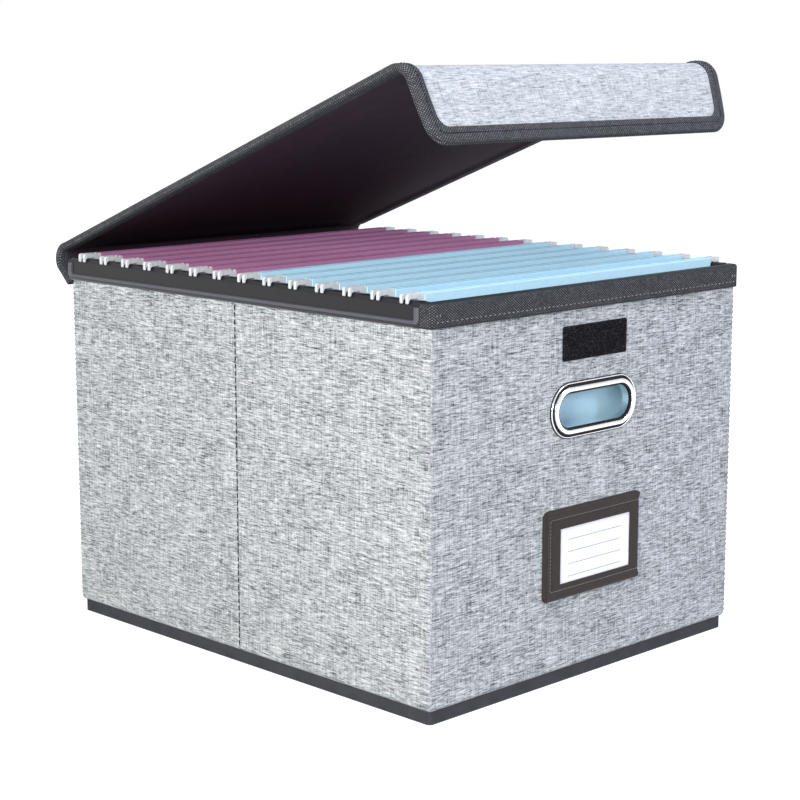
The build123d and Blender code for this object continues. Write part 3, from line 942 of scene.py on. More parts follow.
    def flat_binding(self) -> Piece:
        """The binding laid flat: a tape round three edges, with a rounded outer edge.

        Returns:
            The flat piece.
        """
        half, behind = self.width / 2, -30.0
        outline = [(-half, behind), (half, behind), (half, self.total), (-half, self.total)]
        piece = polygon("lid_binding", [(x, y, -self.bead) for x, y in outline])
        with editing(piece):
            pick(piece, "VERT", lambda _, middle: middle.y > 0)
            bevel_picked(self.corner, 10, "VERTICES")
            bpy.ops.mesh.select_mode(type="FACE")
            select_mesh()
            bpy.ops.mesh.inset(thickness=self.binding_leg * MM, depth=0.0)
            bpy.ops.mesh.delete(type="FACE")
            select_mesh()
            bpy.ops.mesh.bisect(plane_co=(0, self.foot * MM, 0), plane_no=(0, 1, 0), clear_inner=True)
            select_mesh()
            extrude(0, 0, 2 * self.bead)
            face_out()
            pick(piece, "EDGE", self.outer_edge)
            bevel_picked(self.bead * 0.94, 5)
            pick(piece, "EDGE", self.inner_edge)
            bevel_picked(0.45, 2)
            foot_rolls, rolls = (
                [edge - self.binding_leg - cut for cut in self.corner_cuts()] for edge in (self.total, half)
            )
            cut_across(1, self.fold_cuts() + foot_rolls)
            cut_across(0, rolls + [-x for x in rolls])
        move_points(piece, self.round_corner)
        return piece

    def corner_cuts(self) -> list[float]:
        """How far inside the binding's inner corners it needs edges for their round."""
        return [self.inner_corner * share for share in (0.1, 0.25, 0.45, 0.7, 1.0)]

    def round_corner(self, point: Vector) -> Vector:
        """Rounds the inner corners of the flat binding, as a tape folded round a corner takes them."""
        radius, leg = self.inner_corner, self.binding_leg
        inside = Vector((self.width / 2 - leg - abs(point.x), self.total - leg - point.y))
        out = inside - Vector((radius, radius))
        if max(out) >= 0:
            return point
        ahead = out.normalized()
        gap = radius / max(-ahead.x, -ahead.y) - radius
        moved = inside - ahead * gap * share_of(min(inside), 4 - leg, 0.0)
        x = math.copysign(self.width / 2 - leg - moved.x, point.x)
        return Vector((x, self.total - leg - moved.y, point.z))

    def level_edge(self, edge: bmesh.types.BMEdge, middle: Vector) -> bool:
        """Whether an edge of the flat binding lies level between two faces, clear of the hinge."""
        return span(edge, 2) <= 0.1 and len(edge.link_faces) > 1 and middle.y >= self.foot + 0.1

    def faces_out(self, face: bmesh.types.BMFace) -> bool:
        """Whether a wall of the flat binding faces away from the lid's middle."""
        if abs(face.normal.z) > 0.5:
            return False
        centre = face.calc_center_median()
        inner = Vector((0.0, min(centre.y, (self.total - 40) * MM), centre.z))
        return face.normal.dot(centre - inner) > 0

    def outer_edge(self, edge: bmesh.types.BMEdge, middle: Vector) -> bool:
        """Whether an edge of the flat binding runs round its outside."""
        return self.level_edge(edge, middle) and any(self.faces_out(face) for face in edge.link_faces)

    def inner_edge(self, edge: bmesh.types.BMEdge, middle: Vector) -> bool:
        """Whether an edge of the flat binding lies on the linen or on the lining."""
        if not self.level_edge(edge, middle) or abs(abs(middle.z) - self.bead) > 0.01:
            return False
        walls = [face for face in edge.link_faces if abs(face.normal.z) < 0.3]
        return any(not self.faces_out(face) for face in walls)

    def edge_seam(self, height: float, outward: int) -> list[Matrix]:
        """Places for stitches that follow the lid's edge on the flat cloth.

        Args:
            height: their height over the board's middle.
            outward: 1 on the linen's side, -1 on the lining's.

        Returns:
            A matrix for each stitch.
        """
        inset = self.stitch_from_edge
        half, foot, radius = self.width / 2 - inset, self.total - inset, max(self.corner - inset, 0.5)
        up = (0, 0, outward)
        count = max(int(QUARTER * radius / self.stitch_pitch), 1)
        places = []
        for side in (-1, 1):
            x = side * half
            places += straight_seam((x, 1, height), (x, foot - radius, height), up, self.stitch_pitch)
            centre = Vector((side * (half - radius), foot - radius, height))
            for i in range(count):
                angle = (i + 0.5) / count * QUARTER
                across, along = side * math.cos(angle), math.sin(angle)
                point = centre + radius * Vector((across, along, 0))
                places.append(stitch_place(point, Vector((-side * along, side * across, 0)), Vector(up)))
        x = half - radius
        return places + straight_seam((-x, foot, height), (x, foot, height), up, self.stitch_pitch)

    def finish_half(self, piece: Piece, front: bool, material: Material) -> Piece:
        """Folds a flat half, dresses it and shades it smooth."""
        move_points(piece, self.fold)
        dress(piece, material)
        smooth(piece, 32)
        if front:
            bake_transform(piece)
        else:
            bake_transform(piece)
        report(piece)
        return piece

    def halves(self, piece: Piece, material: Material) -> list[Piece]:
        """Parts a flat piece at the top's middle into a rear and a front half, and finishes both.

        Args:
            piece: the flat piece.
            material: its finish.

        Returns:
            The rear half and the front half.
        """
        name = piece.name
        select_only(piece)
        bpy.ops.object.duplicate()
        other = bpy.context.object
        piece.name, other.name = name + "_rear", name + "_front"
        for half, front in ((piece, False), (other, True)):
            with editing(half):
                select_mesh()
                bpy.ops.mesh.bisect(
                    plane_co=(0, self.middle * MM, 0),
                    plane_no=(0, 1, 0),
                    use_fill=True,
                    clear_inner=front,
                    clear_outer=not front,
                )
            self.cloth_pattern(half)
            self.finish_half(half, front, material)
        return [piece, other]

    def stitch_halves(
        self, name: str, thickness: float, height: float, outward: int, material: Material
    ) -> None:
        """Sews one line of stitches round the lid's edge, as a rear and a front piece.

        Args:
            name: the line's name.
            thickness: the thread's.
            height: the line's height over the board's middle.
            outward: 1 on the linen's side, -1 on the lining's.
            material: the thread.
        """
        places = self.edge_seam(height, outward)
        for front, word in ((False, "rear"), (True, "front")):
            chosen = [place for place in places if (place.translation.y > self.middle) == front]
            seam = Stitch(length=1.3, thickness=thickness).sew(f"{name}_stitches_{word}", chosen, material)
            self.finish_half(seam, front, material)

    def build(self, finishes: Finishes) -> None:
        """Makes the lid's cloth pieces in place of the plain ones."""
        board = self.flat_sheet("lid_linen", 0.9, -0.1, self.linen_top)
        rear, front = self.halves(board, finishes.lid_linen)
        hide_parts("lid_rear_flap", "lid_top")
        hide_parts("lid_front_flap")
        under = -self.board / 2
        lining = self.flat_sheet("lid_lining_cloth", self.binding_leg - 2, under - 0.4, under)
        edge = self.width / 2 - self.binding_leg
        rolls = [edge - self.lining_roll * i / 6 for i in range(7)]
        with editing(lining):
            cut_across(0, rolls + [-x for x in rolls])
        move_points(lining, self.lining_rise)
        rear, front = self.halves(lining, finishes.lining)
        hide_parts("lid_lining")
        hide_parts("lid_front_lining")
        rear, front = self.halves(self.flat_binding(), finishes.lid_twill)
        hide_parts("lid_rear_bindings", "lid_top_bindings")
        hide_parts("lid_front_binding")
        self.stitch_halves("lid_outer", 0.75, self.bead + 0.1, 1, finishes.thread_dark)
        self.stitch_halves("lid_inner", 0.5, -self.bead + 0.15, -1, finishes.thread_dark)


@dataclass
class HandGrip:
    """The chrome ring of a hand grip with its sleeve and bead, and the black band and black lip round it,
    painted shadow and painted dark reflection of the chrome.

    Each profile's points are a distance outside the opening and a height over the wall.
    """

    height: float = 185.6
    length: float = 73.5
    opening: float = 23.0
    wall_y: float = 185.0
    steps: int = 28
    ring_profile: tuple = (
        (4.3, 0.0), (4.25, 1.7), (4.1, 2.4), (3.7, 2.9), (3.2, 3.1), (2.0, 3.1), (1.5, 2.9),
        (1.2, 2.5), (1.1, 1.7), (0.9, 1.2), (0.0, 1.0), (0.0, -5.2), (1.2, -5.2), (1.2, 0.0),
    )
    bead_profile: tuple = ((6.95, 0.3), (6.9, 0.9), (6.65, 1.3), (6.3, 1.3), (6.05, 0.9), (6.0, 0.3))
    shade_band_profile: tuple = ((7.4, 0.0), (7.4, 0.45), (7.1, 0.65), (4.2, 0.65), (4.2, 0.0))
    lip_profile: tuple = ((1.15, 1.0), (1.1, 1.9), (0.8, 2.2), (0.3, 2.1), (-0.1, 1.5), (-0.1, 0.2), (0.2, 0.9))

    def ring(self, name: str, profile: tuple, side: int, material: Material) -> Piece:
        """Sweeps a profile round the grip's opening.

        Args:
            name: the piece's name.
            profile: its section.
            side: -1 on the front wall, 1 on the rear wall.
            material: its finish.

        Returns:
            The ring.
        """
        half_run = (self.length - self.opening) / 2
        points = [(half_run, -proud, self.opening / 2 + out) for out, proud in profile]
        piece = polygon(name, points, "NOTHING")
        with editing(piece):
            select_mesh()
            for x in (half_run, -half_run):
                spin(self.steps, math.pi, (x, 0, 0), (0, -1, 0))
                bpy.ops.mesh.extrude_edges_move(TRANSFORM_OT_translate={"value": (-2 * x * MM, 0, 0)})
            face_out(merge=True)
        turn = Matrix.Identity(4) if side < 0 else Matrix.Rotation(math.pi, 4, "Z")
        piece.data.transform(Matrix.Translation((0, side * self.wall_y * MM, self.height * MM)) @ turn)
        dress(piece, material)
        smooth(piece, 50)
        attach(piece, "box")
        report(piece)
        return piece

    def build(self, place: str, side: int, finishes: Finishes) -> None:
        """Models the grip of one end wall.

        Args:
            place: front or rear.
            side: -1 on the front wall, 1 on the rear wall.
            finishes: the box's finishes.
        """
        for word, profile, material, slot in (
            ("chrome", self.ring_profile, finishes.chrome, "chrome"),
            ("bead", self.bead_profile, finishes.chrome, "chrome"),
            # The black band and lip stand in for the chrome's dark reflections and the shadow round the grip:
            # painted shade.
            ("gasket", self.shade_band_profile, finishes.gasket, "rail_plastic"),
            ("lip", self.lip_profile, finishes.gasket, "rail_plastic"),
        ):
            piece = self.ring(f"{place}_grip_{word}", profile, side, material)
            if word == "chrome":
                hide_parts(f"{place}_grip_ring")


@dataclass
class LabelHolder:
    """The padded leatherette frame, rolled and sewn on its left, top and bottom sides."""

    width: float = 100.0
    height: float = 62.0
    middle_z: float = 89.7
    wall_y: float = -185.0
    corner: float = 4.6
    left_border: float = 16.6
    top_border: float = 13.8
    window_width: float = 73.2
    window_height: float = 37.8
    face: float = 1.75
    least_face: float = 0.475
    roll: float = 5.4
    roll_height: float = 0.95
    edge: float = 1.6
    seam: float = 6.6
    seam_depth: float = 0.28
    seam_width: float = 0.8
    grid: float = 1.15

    def lies_at(self, x: float, z: float) -> float:
        """How far the padded face stands out of the wall at a place, in millimetres."""
        left, right = x + self.width / 2, self.width / 2 - x
        top, bottom = self.middle_z + self.height / 2 - z, z - self.middle_z + self.height / 2
        rolled = min(left, top, bottom)
        face = self.face
        if rolled < self.roll:
            face += self.roll_height * max(math.sin(math.pi * rolled / self.roll), 0.0) ** 0.8
        edge = min(rolled, right)
        if edge < self.edge:
            face *= 0.35 + 0.65 * math.sin(QUARTER * edge / self.edge)
        for line in (left, top, bottom):
            face -= self.seam_depth * math.exp(-(((line - self.seam) / self.seam_width) ** 2))
        return max(face, self.least_face)

    def padded(self, point: Vector) -> Vector:
        """Raises the front face to its padded shape."""
        if point.y > self.wall_y - 0.5:
            return point
        return Vector((point.x, self.wall_y - self.lies_at(point.x, point.z), point.z))

    def build(self, finishes: Finishes) -> None:
        """Models the frame and its stitches."""
        half = self.width / 2
        low_z, high_z = self.middle_z - self.height / 2, self.middle_z + self.height / 2
        left, right = -half + self.left_border, -half + self.left_border + self.window_width
        top, bottom = high_z - self.top_border, high_z - self.top_border - self.window_height
        piece = block("label_frame", (-half, self.wall_y - 1.0, low_z), (half, self.wall_y - 0.02, high_z))
        with editing(piece):
            pick(piece, "EDGE", lambda edge, middle: abs(middle.x) > half - 1 and span(edge, 1) > 0.1)
            bevel_picked(self.corner, 5)
            for axis, window, start in ((0, [left, right], -half), (2, [bottom, top], low_z)):
                count = 86 if axis == 0 else 53
                cut_across(axis, window + [start + 0.7 + self.grid * i for i in range(count)])
            pick(piece, "FACE", lambda _, middle: left < middle.x < right and bottom < middle.z < top)
            bpy.ops.mesh.delete(type="FACE")
            bpy.ops.mesh.select_mode(type="EDGE")
            bpy.ops.mesh.select_all(action="DESELECT")
            bpy.ops.mesh.select_non_manifold()
            bpy.ops.mesh.bridge_edge_loops()
            face_out()
        move_points(piece, self.padded)
        dress(piece, finishes.leatherette)
        smooth(piece, 50)
        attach(piece, "box")
        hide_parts("label_holder")
        report(piece)
        depth, inset = self.wall_y - 1.58, self.seam
        corners = [
            (half - 1.5, depth, high_z - inset),
            (-half + inset, depth, high_z - inset),
            (-half + inset, depth, low_z + inset),
            (half - 1.5, depth, low_z + inset),
        ]
        places = []
        for start, end in zip(corners, corners[1:]):
            places += straight_seam(start, end, (0, -1, 0), 2.5)
        seam = Stitch(length=1.7, thickness=0.55).sew("label_frame_stitches", places, finishes.thread_beige)
        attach(seam, "box")


@dataclass
class RailFrame:
    """The rounded rib moulded along a hanging rail's foot and up its two ends."""

    outer_x: float = 157.0
    proud: float = 1.6
    width: float = 4.6
    front_y: float = -177.2
    rear_y: float = 186.0
    low_z: float = 252.4
    high_z: float = 265.0
    corner: float = 3.0
    steps: int = 8

    def build(self, name: str, side: int, finishes: Finishes) -> None:
        """Sweeps the rib round the rail's outer face.

        Args:
            name: the piece's name.
            side: -1 on the left rail, 1 on the right rail.
            finishes: the box's finishes.
        """
        half, turn = self.width / 2, self.corner
        front, rear = self.front_y + half, self.rear_y - half
        corner_z = self.low_z + half + turn
        arcs = [math.pi * i / self.steps for i in range(self.steps + 1)]
        section = [(-half * math.cos(a), self.proud * math.sin(a)) for a in arcs]
        section += [(half, -0.4), (-half, -0.4)]
        piece = polygon(name, [(self.outer_x + out, front + across, self.high_z) for across, out in section])
        drop = corner_z - self.high_z
        with editing(piece):
            select_mesh()
            extrude(0, 0, drop)
            spin(6, QUARTER, (0, front + turn, corner_z), (-1, 0, 0))
            extrude(0, rear - front - 2 * turn, 0)
            spin(6, QUARTER, (0, rear - turn, corner_z), (-1, 0, 0))
            extrude(0, 0, -drop)
            face_out(merge=True)
        if side < 0:
            piece.data.transform(Matrix.Scale(-1, 4, (1, 0, 0)))
            piece.data.flip_normals()
        # The rib's finish is painted pale on its upper half and its two ends: a painted highlight.
        dress(piece, finishes.rail_rib)
        smooth(piece, 50)
        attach(piece, "box")
        report(piece)


@dataclass
class HangerStrips:
    """The two moulded strips in each folder's top, with a rounded hook at each end."""

    count: int = 14
    front_y: float = -165.2
    pitch: float = 25.6
    spread: float = 5.1
    thickness: float = 1.2
    sheet_left: float = -143.5
    sheet_right: float = 147.5
    strip_top: float = 271.8
    strip_low: float = 262.6
    hook_top: float = 272.4
    notch_roof: float = 269.2
    finger_low: float = 266.5
    finger_out: float = 158.7
    finger_in: float = 157.3
    shank: float = 148.7
    tick: tuple = (1.95, 3.25, 1.0)
    hook_swell: float = 1.8
    swell_from: float = 2.2
    swell_to: float = 2.0

    def end(self, sheet: float) -> list[tuple[float, float]]:
        """One end's outline, from the strip's top round the hook to its foot, as distance and height."""
        near, far, depth = self.tick
        return [
            (sheet, self.strip_top),
            (sheet, self.hook_top),
            (sheet + near, self.hook_top),
            (sheet + near, self.hook_top - depth),
            (sheet + far, self.hook_top - depth),
            (sheet + far, self.hook_top),
            (self.finger_out, self.hook_top),
            (self.finger_out, self.finger_low),
            (self.finger_in, self.finger_low),
            (self.finger_in, self.notch_roof),
            (self.shank, self.notch_roof),
            (self.shank, self.strip_low),
        ]

    def pair(self) -> Piece:
        """Models one folder's two strips about the middle of the box.

        Returns:
            The two strips as one object.
        """
        left = [(-x, z) for x, z in self.end(-self.sheet_left)]
        near_y = -self.spread / 2 - self.thickness / 2
        outline = self.end(self.sheet_right) + left[::-1]
        pair = polygon("hanger_strips", [(x, near_y, z) for x, z in outline])
        with editing(pair):
            for x, z, radius in (
                (self.finger_out, self.hook_top, 1.5),
                (self.finger_out, self.finger_low, 0.65),
                (self.finger_in, self.finger_low, 0.65),
                (self.finger_in, self.notch_roof, 1.9),
                (self.shank, self.notch_roof, 1.9),
            ):
                pick(
                    pair,
                    "VERT",
                    lambda _, middle: abs(abs(middle.x) - x) < 0.02 and abs(middle.z - z) < 0.02,
                )
                bevel_picked(radius, 4, "VERTICES")
            select_mesh()
            extrude(0, self.thickness, 0)
            swells = (self.finger_in - self.swell_from, self.finger_in - self.swell_to)
            cut_across(0, [side * x for x in swells for side in (-1, 1)])
            pick(pair, "VERT", lambda _, middle: abs(middle.x) > swells[1] - 0.1)
            centre = (0, (near_y + self.thickness / 2) * MM, 0)
            bpy.ops.transform.resize(value=(1, self.hook_swell, 1), center_override=centre)
            face_out()
            pick(
                pair,
                "EDGE",
                lambda edge, _: span(edge, 1) < 0.01
                and len({round(face.normal.y) for face in edge.link_faces}) > 1,
            )
            bevel_picked(0.25, 1)
            select_mesh()
            bpy.ops.mesh.duplicate_move(TRANSFORM_OT_translate={"value": (0, self.spread * MM, 0)})
        smooth(pair, 25)
        return pair

    def build(self, finishes: Finishes) -> None:
        """Copies the pair into every folder."""
        pair = self.pair()
        dress(pair, finishes.hanger)
        for index in range(self.count):
            name = f"folder_{index + 1:02d}"
            hooks = pair.copy()
            hooks.data = pair.data.copy()
            hooks.name = hooks.data.name = name + "_hooks"
            middle = self.front_y + (self.count - 1 - index) * self.pitch
            hooks.data.transform(Matrix.Translation((0, middle * MM, 0)))
            bpy.context.scene.collection.objects.link(hooks)
            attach(hooks, name)
            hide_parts(name + "_hangers")
            report(hooks)
        bpy.data.objects.remove(pair)


@dataclass
class ClothRim:
    """The twill binding over the front wall's top edge, turned back along both sides."""

    half_x: float = 157.2
    front_y: float = -187.2
    back_y: float = -179.8
    return_y: float = -177.2
    inner_x: float = 149.8
    low_z: float = 252.2
    high_z: float = 268.5
    corner: float = 4.0

    def on_side(self, edge: bmesh.types.BMEdge, middle: Vector) -> bool:
        """Whether an edge is one of the rim's two upright front corners."""
        return abs(middle.x) > self.half_x - 0.5 and middle.y < self.front_y + 0.5 and span(edge, 2) > 1

    def on_top(self, edge: bmesh.types.BMEdge, middle: Vector) -> bool:
        """Whether an edge runs round the rim's top."""
        return middle.z > self.high_z - 0.1 and any(abs(face.normal.z) < 0.5 for face in edge.link_faces)

    def on_foot(self, edge: bmesh.types.BMEdge, middle: Vector) -> bool:
        """Whether an edge runs along the rim's foot, outside."""
        outside = any(face.normal.y < -0.3 or abs(face.normal.x) > 0.3 for face in edge.link_faces)
        return middle.z < self.low_z + 0.1 and outside and span(edge, 2) < 0.1

    def build(self, finishes: Finishes) -> None:
        """Models the rim and its lines of stitches."""
        low, high = (-self.half_x, self.front_y, self.low_z), (self.half_x, self.back_y, self.high_z)
        piece = block("front_rim_cloth", low, high)
        with editing(piece):
            cut_across(0, [-self.inner_x, self.inner_x])
            pick(piece, "FACE", lambda face, middle: face.normal.y > 0.9 and abs(middle.x) > self.inner_x)
            extrude(0, self.return_y - self.back_y, 0)
            for test, offset, segments in (
                (self.on_side, self.corner, 6),
                (self.on_top, 1.8, 4),
                (self.on_foot, 0.9, 3),
            ):
                pick(piece, "EDGE", test)
                bevel_picked(offset, segments)
        dress(piece, finishes.wall_twill)
        # The rim's top faces and its lowest strip take the painted shade.
        piece.data.materials.append(finishes.pressed_twill)
        for face in piece.data.polygons:
            face.material_index = int(face.normal.z > 0.4 or face.center.z < (self.low_z + 1.2) * MM)
        smooth(piece, 40)
        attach(piece, "box")
        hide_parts("front_rim")
        report(piece)
        seam_z, reach = self.low_z + 4.0, self.half_x - self.corner
        lines = [(-reach, reach, seam_z)]
        for x in (reach - 1.2, reach - 4.2):
            lines += [(side * x, side * x, self.high_z - 4.0) for side in (-1, 1)]
        places = []
        for x_a, x_b, z in lines:
            places += straight_seam((x_a, self.front_y, seam_z), (x_b, self.front_y, z), (0, -1, 0), 4.2)
        seam = Stitch(length=1.5, thickness=0.55).sew("front_rim_stitches", places, finishes.thread_grey)
        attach(seam, "box")


@dataclass
class WallSeams:
    """The stitches on the walls: round the upright corners and down the side folds."""

    half_x: float = 155.0
    half_y: float = 185.0
    low_z: float = 12.0
    high_z: float = 251.0
    corner_pitch: float = 3.8
    corner_round: float = 2.0
    corner_slant: float = 0.55
    fold_pitch: float = 4.9

    def build(self, finishes: Finishes) -> None:
        """Sews the corners and the side folds."""
        places = []
        count = int((self.high_z - self.low_z) / self.corner_pitch)
        for x_side, y_side in ((-1, -1), (-1, 1), (1, -1), (1, 1)):
            outward = Vector((x_side, y_side, 0)).normalized()
            ahead = Vector((y_side, -x_side, self.corner_slant * x_side * y_side))
            x, y = x_side * (self.half_x - self.corner_round), y_side * (self.half_y - self.corner_round)
            foot = Vector((x, y, self.low_z)) + outward * (self.corner_round + 0.05)
            for i in range(count):
                point = foot + Vector((0, 0, self.corner_pitch * (i + 0.5)))
                places.append(stitch_place(point, ahead, outward))
        seam = Stitch(length=3.4, thickness=1.1).sew("corner_stitches", places, finishes.thread_grey)
        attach(seam, "box")
        places = []
        for side in (-1, 1):
            x = side * (self.half_x - 0.35)
            places += straight_seam((x, 0, self.low_z), (x, 0, self.high_z), (side, 0, 0), self.fold_pitch)
        seam = Stitch(length=3.6, thickness=0.8).sew("side_fold_stitches", places, finishes.thread_dark)
        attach(seam, "box")


@dataclass
class LoopPatch:
    """The loop half of the closure: a short woven tape with a pile of tiny nylon loops."""

    width: float = 65.0
    height: float = 23.0
    middle_z: float = 230.2
    wall_y: float = -185.0
    thickness: float = 1.8
    margin: float = 0.7
    loop_count: int = 1500
    quick_count: int = 60

    def build(self, finishes: Finishes) -> None:
        """Models the tape and its pile."""
        rng = random.Random(7)
        half_x, half_z = self.width / 2, self.height / 2
        base_y = self.wall_y - self.thickness + 0.75
        low = (-half_x, base_y, self.middle_z - half_z)
        piece = block("loop_patch_tape", low, (half_x, self.wall_y - 0.02, self.middle_z + half_z))
        with editing(piece):
            pick(piece, "EDGE", lambda edge, _: span(edge, 1) > 0.1)
            bevel_picked(1.5, 3)
            pick(piece, "EDGE", lambda _, middle: middle.y < base_y + 0.05)
            bevel_picked(0.4, 2)
        dress(piece, finishes.hook_and_loop)
        smooth(piece, 40)
        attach(piece, "box")
        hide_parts("loop_patch")
        report(piece)
        reach_x, reach_z = half_x - self.margin, half_z - self.margin
        places = []
        for _ in range(self.loop_count):
            x, y = rng.uniform(-reach_x, reach_x), base_y - rng.uniform(0.0, 0.45)
            point = Vector((x, y, self.middle_z + rng.uniform(-reach_z, reach_z)))
            ahead = Vector((rng.uniform(-1, 1), rng.uniform(-0.5, 0.5), rng.uniform(-1, 1)))
            places.append(stitch_place(point, ahead, Vector((0.05, -1, 0.02))))
        pile = Stitch(length=1.5, thickness=0.34).sew("loop_patch_pile", places, finishes.hook_and_loop)
        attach(pile, "box")


@dataclass
class HingeStrip:
    """The strip of twill that carries the lid: sewn to the rear wall's tape and up the rear flap."""

    lid: LidCloth
    half_x: float = 146.0
    columns: int = 24
    on_wall: tuple = ((187.75, 239.0), (187.8, 243.5), (188.7, 246.3), (191.2, 246.8), (193.9, 246.8))
    on_flap: tuple = (0.5, 3.0, 7.0, 12.0)

    def build(self, finishes: Finishes) -> None:
        """Models the strip bent over the hinge, from the rear wall's tape up the open lid's rear flap."""
        line = [Vector((0, y, z)) for y, z in self.on_wall]
        line += [self.lid.fold(Vector((0, along, self.lid.bead + 0.5))) for along in self.on_flap]
        steps = len(line) - 1
        clear_selection()
        bpy.ops.mesh.primitive_grid_add(
            x_subdivisions=self.columns, y_subdivisions=steps, size=2, location=(0, 0, 0)
        )
        piece = named("hinge_strip")
        for vertex in piece.data.vertices:
            place = line[round((vertex.co.y + 1) / 2 * steps)]
            vertex.co = Vector((vertex.co.x * self.half_x, place.y, place.z)) * MM
        layer = piece.data.uv_layers[0]
        for loop in piece.data.loops:
            point = piece.data.vertices[loop.vertex_index].co
            layer.data[loop.index].uv = (point.x, point.z + point.y)
        with editing(piece):
            face_out()
        thicken = piece.modifiers.new("cloth", "SOLIDIFY")
        thicken.thickness, thicken.offset = 0.6 * MM, 0.0
        soften = piece.modifiers.new("soft", "SUBSURF")
        soften.levels = soften.render_levels = 2
        select_only(piece)
        for modifier in ("cloth", "soft"):
            bpy.ops.object.modifier_apply(modifier=modifier)
        dress(piece, finishes.lid_twill)
        smooth(piece, 60)
        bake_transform(piece)
        report(piece)


@dataclass
class PlainNodes:
    """The frame's own nodes, which show where their shape is already right and need only a finish."""

    finishes: Finishes
    mauve_folders: int = 7

    def finish_of(self, node: str) -> Material:
        """The finish that a node of the frame wears, by the first word here that its name holds."""
        wear = self.finishes
        words = {
            "grip": wear.chrome,
            "_wall": wear.wall_linen,
            "base_": wear.base_cloth,
            "_rail": wear.rail,
            "_patch": wear.hook_and_loop,
            "label_holder": wear.leatherette,
            "label_card": wear.card,
            "_hangers": wear.hanger,
            "lining": wear.lining,
            "binding": wear.wall_twill,
            "_band": wear.wall_twill,
            "_rim": wear.wall_twill,
            "_tape": wear.wall_twill,
        }
        for word, finish in words.items():
            if word in node:
                return finish
        if node.startswith("folder_"):
            # The folders' card is painted darker on their tops: painted shade between the folders.
            return wear.mauve if int(node[7:9]) <= self.mauve_folders else wear.blue
        return wear.wall_linen

    def build(self) -> None:
        """Dresses every node of the frame."""
        for name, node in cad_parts.items():
            dress(node, self.finish_of(name))
        log.info("%d nodes dressed", len(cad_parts))


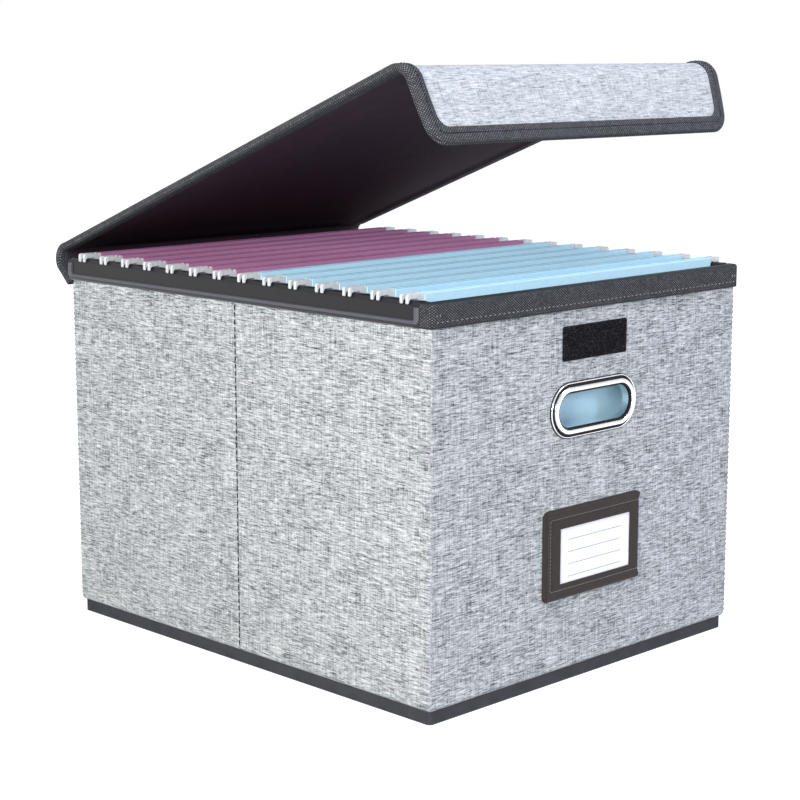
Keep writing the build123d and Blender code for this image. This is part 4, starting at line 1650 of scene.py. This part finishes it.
@dataclass
class Studio:
    """The camera at the photograph's view, the lamps, the pale floor and the white surround."""

    lens: float = 87.947
    shift: float = 0.0004
    place: tuple = (-0.99226, -1.00419, 0.41968)
    ahead: tuple = (0.6924, 0.6994, -0.1772)
    target: tuple = (0.0, 0.0, 0.18)
    world_light: float = 0.18
    floor_glow: float = 0.91

    def put(self, name: str, data: bpy.types.ID, place: tuple, ahead: Vector) -> Piece:
        """Puts a camera or a lamp into the studio, looking ahead."""
        thing = bpy.data.objects.new(name, data)
        thing.location = place
        thing.rotation_euler = ahead.to_track_quat("-Z", "Y").to_euler()
        bpy.context.scene.collection.objects.link(thing)
        return thing

    def camera(self) -> None:
        """Sets the camera up."""
        data = bpy.data.cameras.new("photo_camera")
        data.lens, data.sensor_width, data.sensor_fit = self.lens, 36.0, "HORIZONTAL"
        data.shift_y = self.shift
        data.clip_start, data.clip_end = 0.05, 20.0
        bpy.context.scene.camera = self.put("photo_camera", data, self.place, Vector(self.ahead))

    def lamp(self, name: str, place: tuple, size: float, power: float, colour: tuple) -> None:
        """Adds one square soft lamp that looks at the box."""
        data = bpy.data.lights.new(name, "AREA")
        data.size, data.energy, data.color = size, power, colour
        self.put(name, data, place, Vector(self.target) - Vector(place))

    def seen(self, tree: bpy.types.NodeTree, *rays: str) -> Socket:
        """1 for the kinds of ray that see the studio as white, and 0 for its light on the box."""
        path = add_node(tree, "ShaderNodeLightPath").outputs
        share = path[rays[0]]
        for ray in rays[1:]:
            share = add_node(tree, "ShaderNodeMath", {0: share, 1: path[ray]}, operation="MAXIMUM").outputs[0]
        return share

    def surround(self) -> None:
        """Makes the world: white to the eye and to metal, an even grey as light."""
        world = bpy.data.worlds.new("studio_surround")
        bpy.context.scene.world = world
        tree = emptied(world)
        share = self.seen(tree, "Is Camera Ray", "Is Glossy Ray", "Is Transmission Ray")
        white = linear("#ffffff")
        dim, bright = (
            add_node(tree, "ShaderNodeBackground", {"Color": white, "Strength": strength}).outputs[0]
            for strength in (self.world_light, 1.0)
        )
        both = add_node(tree, "ShaderNodeMixShader", {0: share, 1: dim, 2: bright})
        add_node(tree, "ShaderNodeOutputWorld", {0: both.outputs[0]})

    def floor(self) -> None:
        """Lays the pale floor, white to the eye apart from the box's own soft shadow."""
        clear_selection()
        bpy.ops.mesh.primitive_plane_add(size=12, location=(0, 0, -0.0004))
        floor = bpy.context.object
        floor.name = "studio_floor"
        material = bpy.data.materials.new("pale_studio_floor")
        tree = emptied(material)
        matt = add_node(tree, "ShaderNodeBsdfDiffuse", {"Color": linear("#cccccc")}).outputs[0]
        glow = add_node(tree, "ShaderNodeEmission", {"Color": linear("#ffffff"), "Strength": self.floor_glow})
        lifted = add_node(tree, "ShaderNodeAddShader", {0: matt, 1: glow.outputs[0]}).outputs[0]
        share = self.seen(tree, "Is Camera Ray", "Is Glossy Ray")
        both = add_node(tree, "ShaderNodeMixShader", {0: share, 1: matt, 2: lifted})
        add_node(tree, "ShaderNodeOutputMaterial", {0: both.outputs[0]})
        dress(floor, material)

    def build(self) -> None:
        """Sets the studio up."""
        self.camera()
        self.surround()
        self.floor()
        cool = (0.81, 0.84, 1.0)
        self.lamp("key_lamp", (1.7, -2.4, 1.2), 0.7, 28.0, cool)
        self.lamp("left_lamp", (-2.45, -1.15, 0.95), 1.0, 78.0, (1.0, 1.0, 1.0))
        self.lamp("top_lamp", (0.3, -0.9, 3.0), 1.4, 63.0, cool)
        bpy.context.scene.view_settings.view_transform = "Standard"


def main() -> None:
    """Builds the pieces in order and reports each."""
    logging.basicConfig(level=logging.INFO, format="%(message)s")
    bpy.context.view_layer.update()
    finishes = Finishes()
    Studio().build()
    PlainNodes(finishes).build()
    lid = LidCloth()
    lid.build(finishes)
    HandGrip().build("front", -1, finishes)
    HandGrip().build("rear", 1, finishes)
    RailFrame().build("left_rail_frame", -1, finishes)
    RailFrame().build("right_rail_frame", 1, finishes)
    for maker in (HangerStrips(), LabelHolder(), ClothRim(), WallSeams(), LoopPatch(), HingeStrip(lid)):
        maker.build(finishes)


if __name__ == "__main__":
    main()
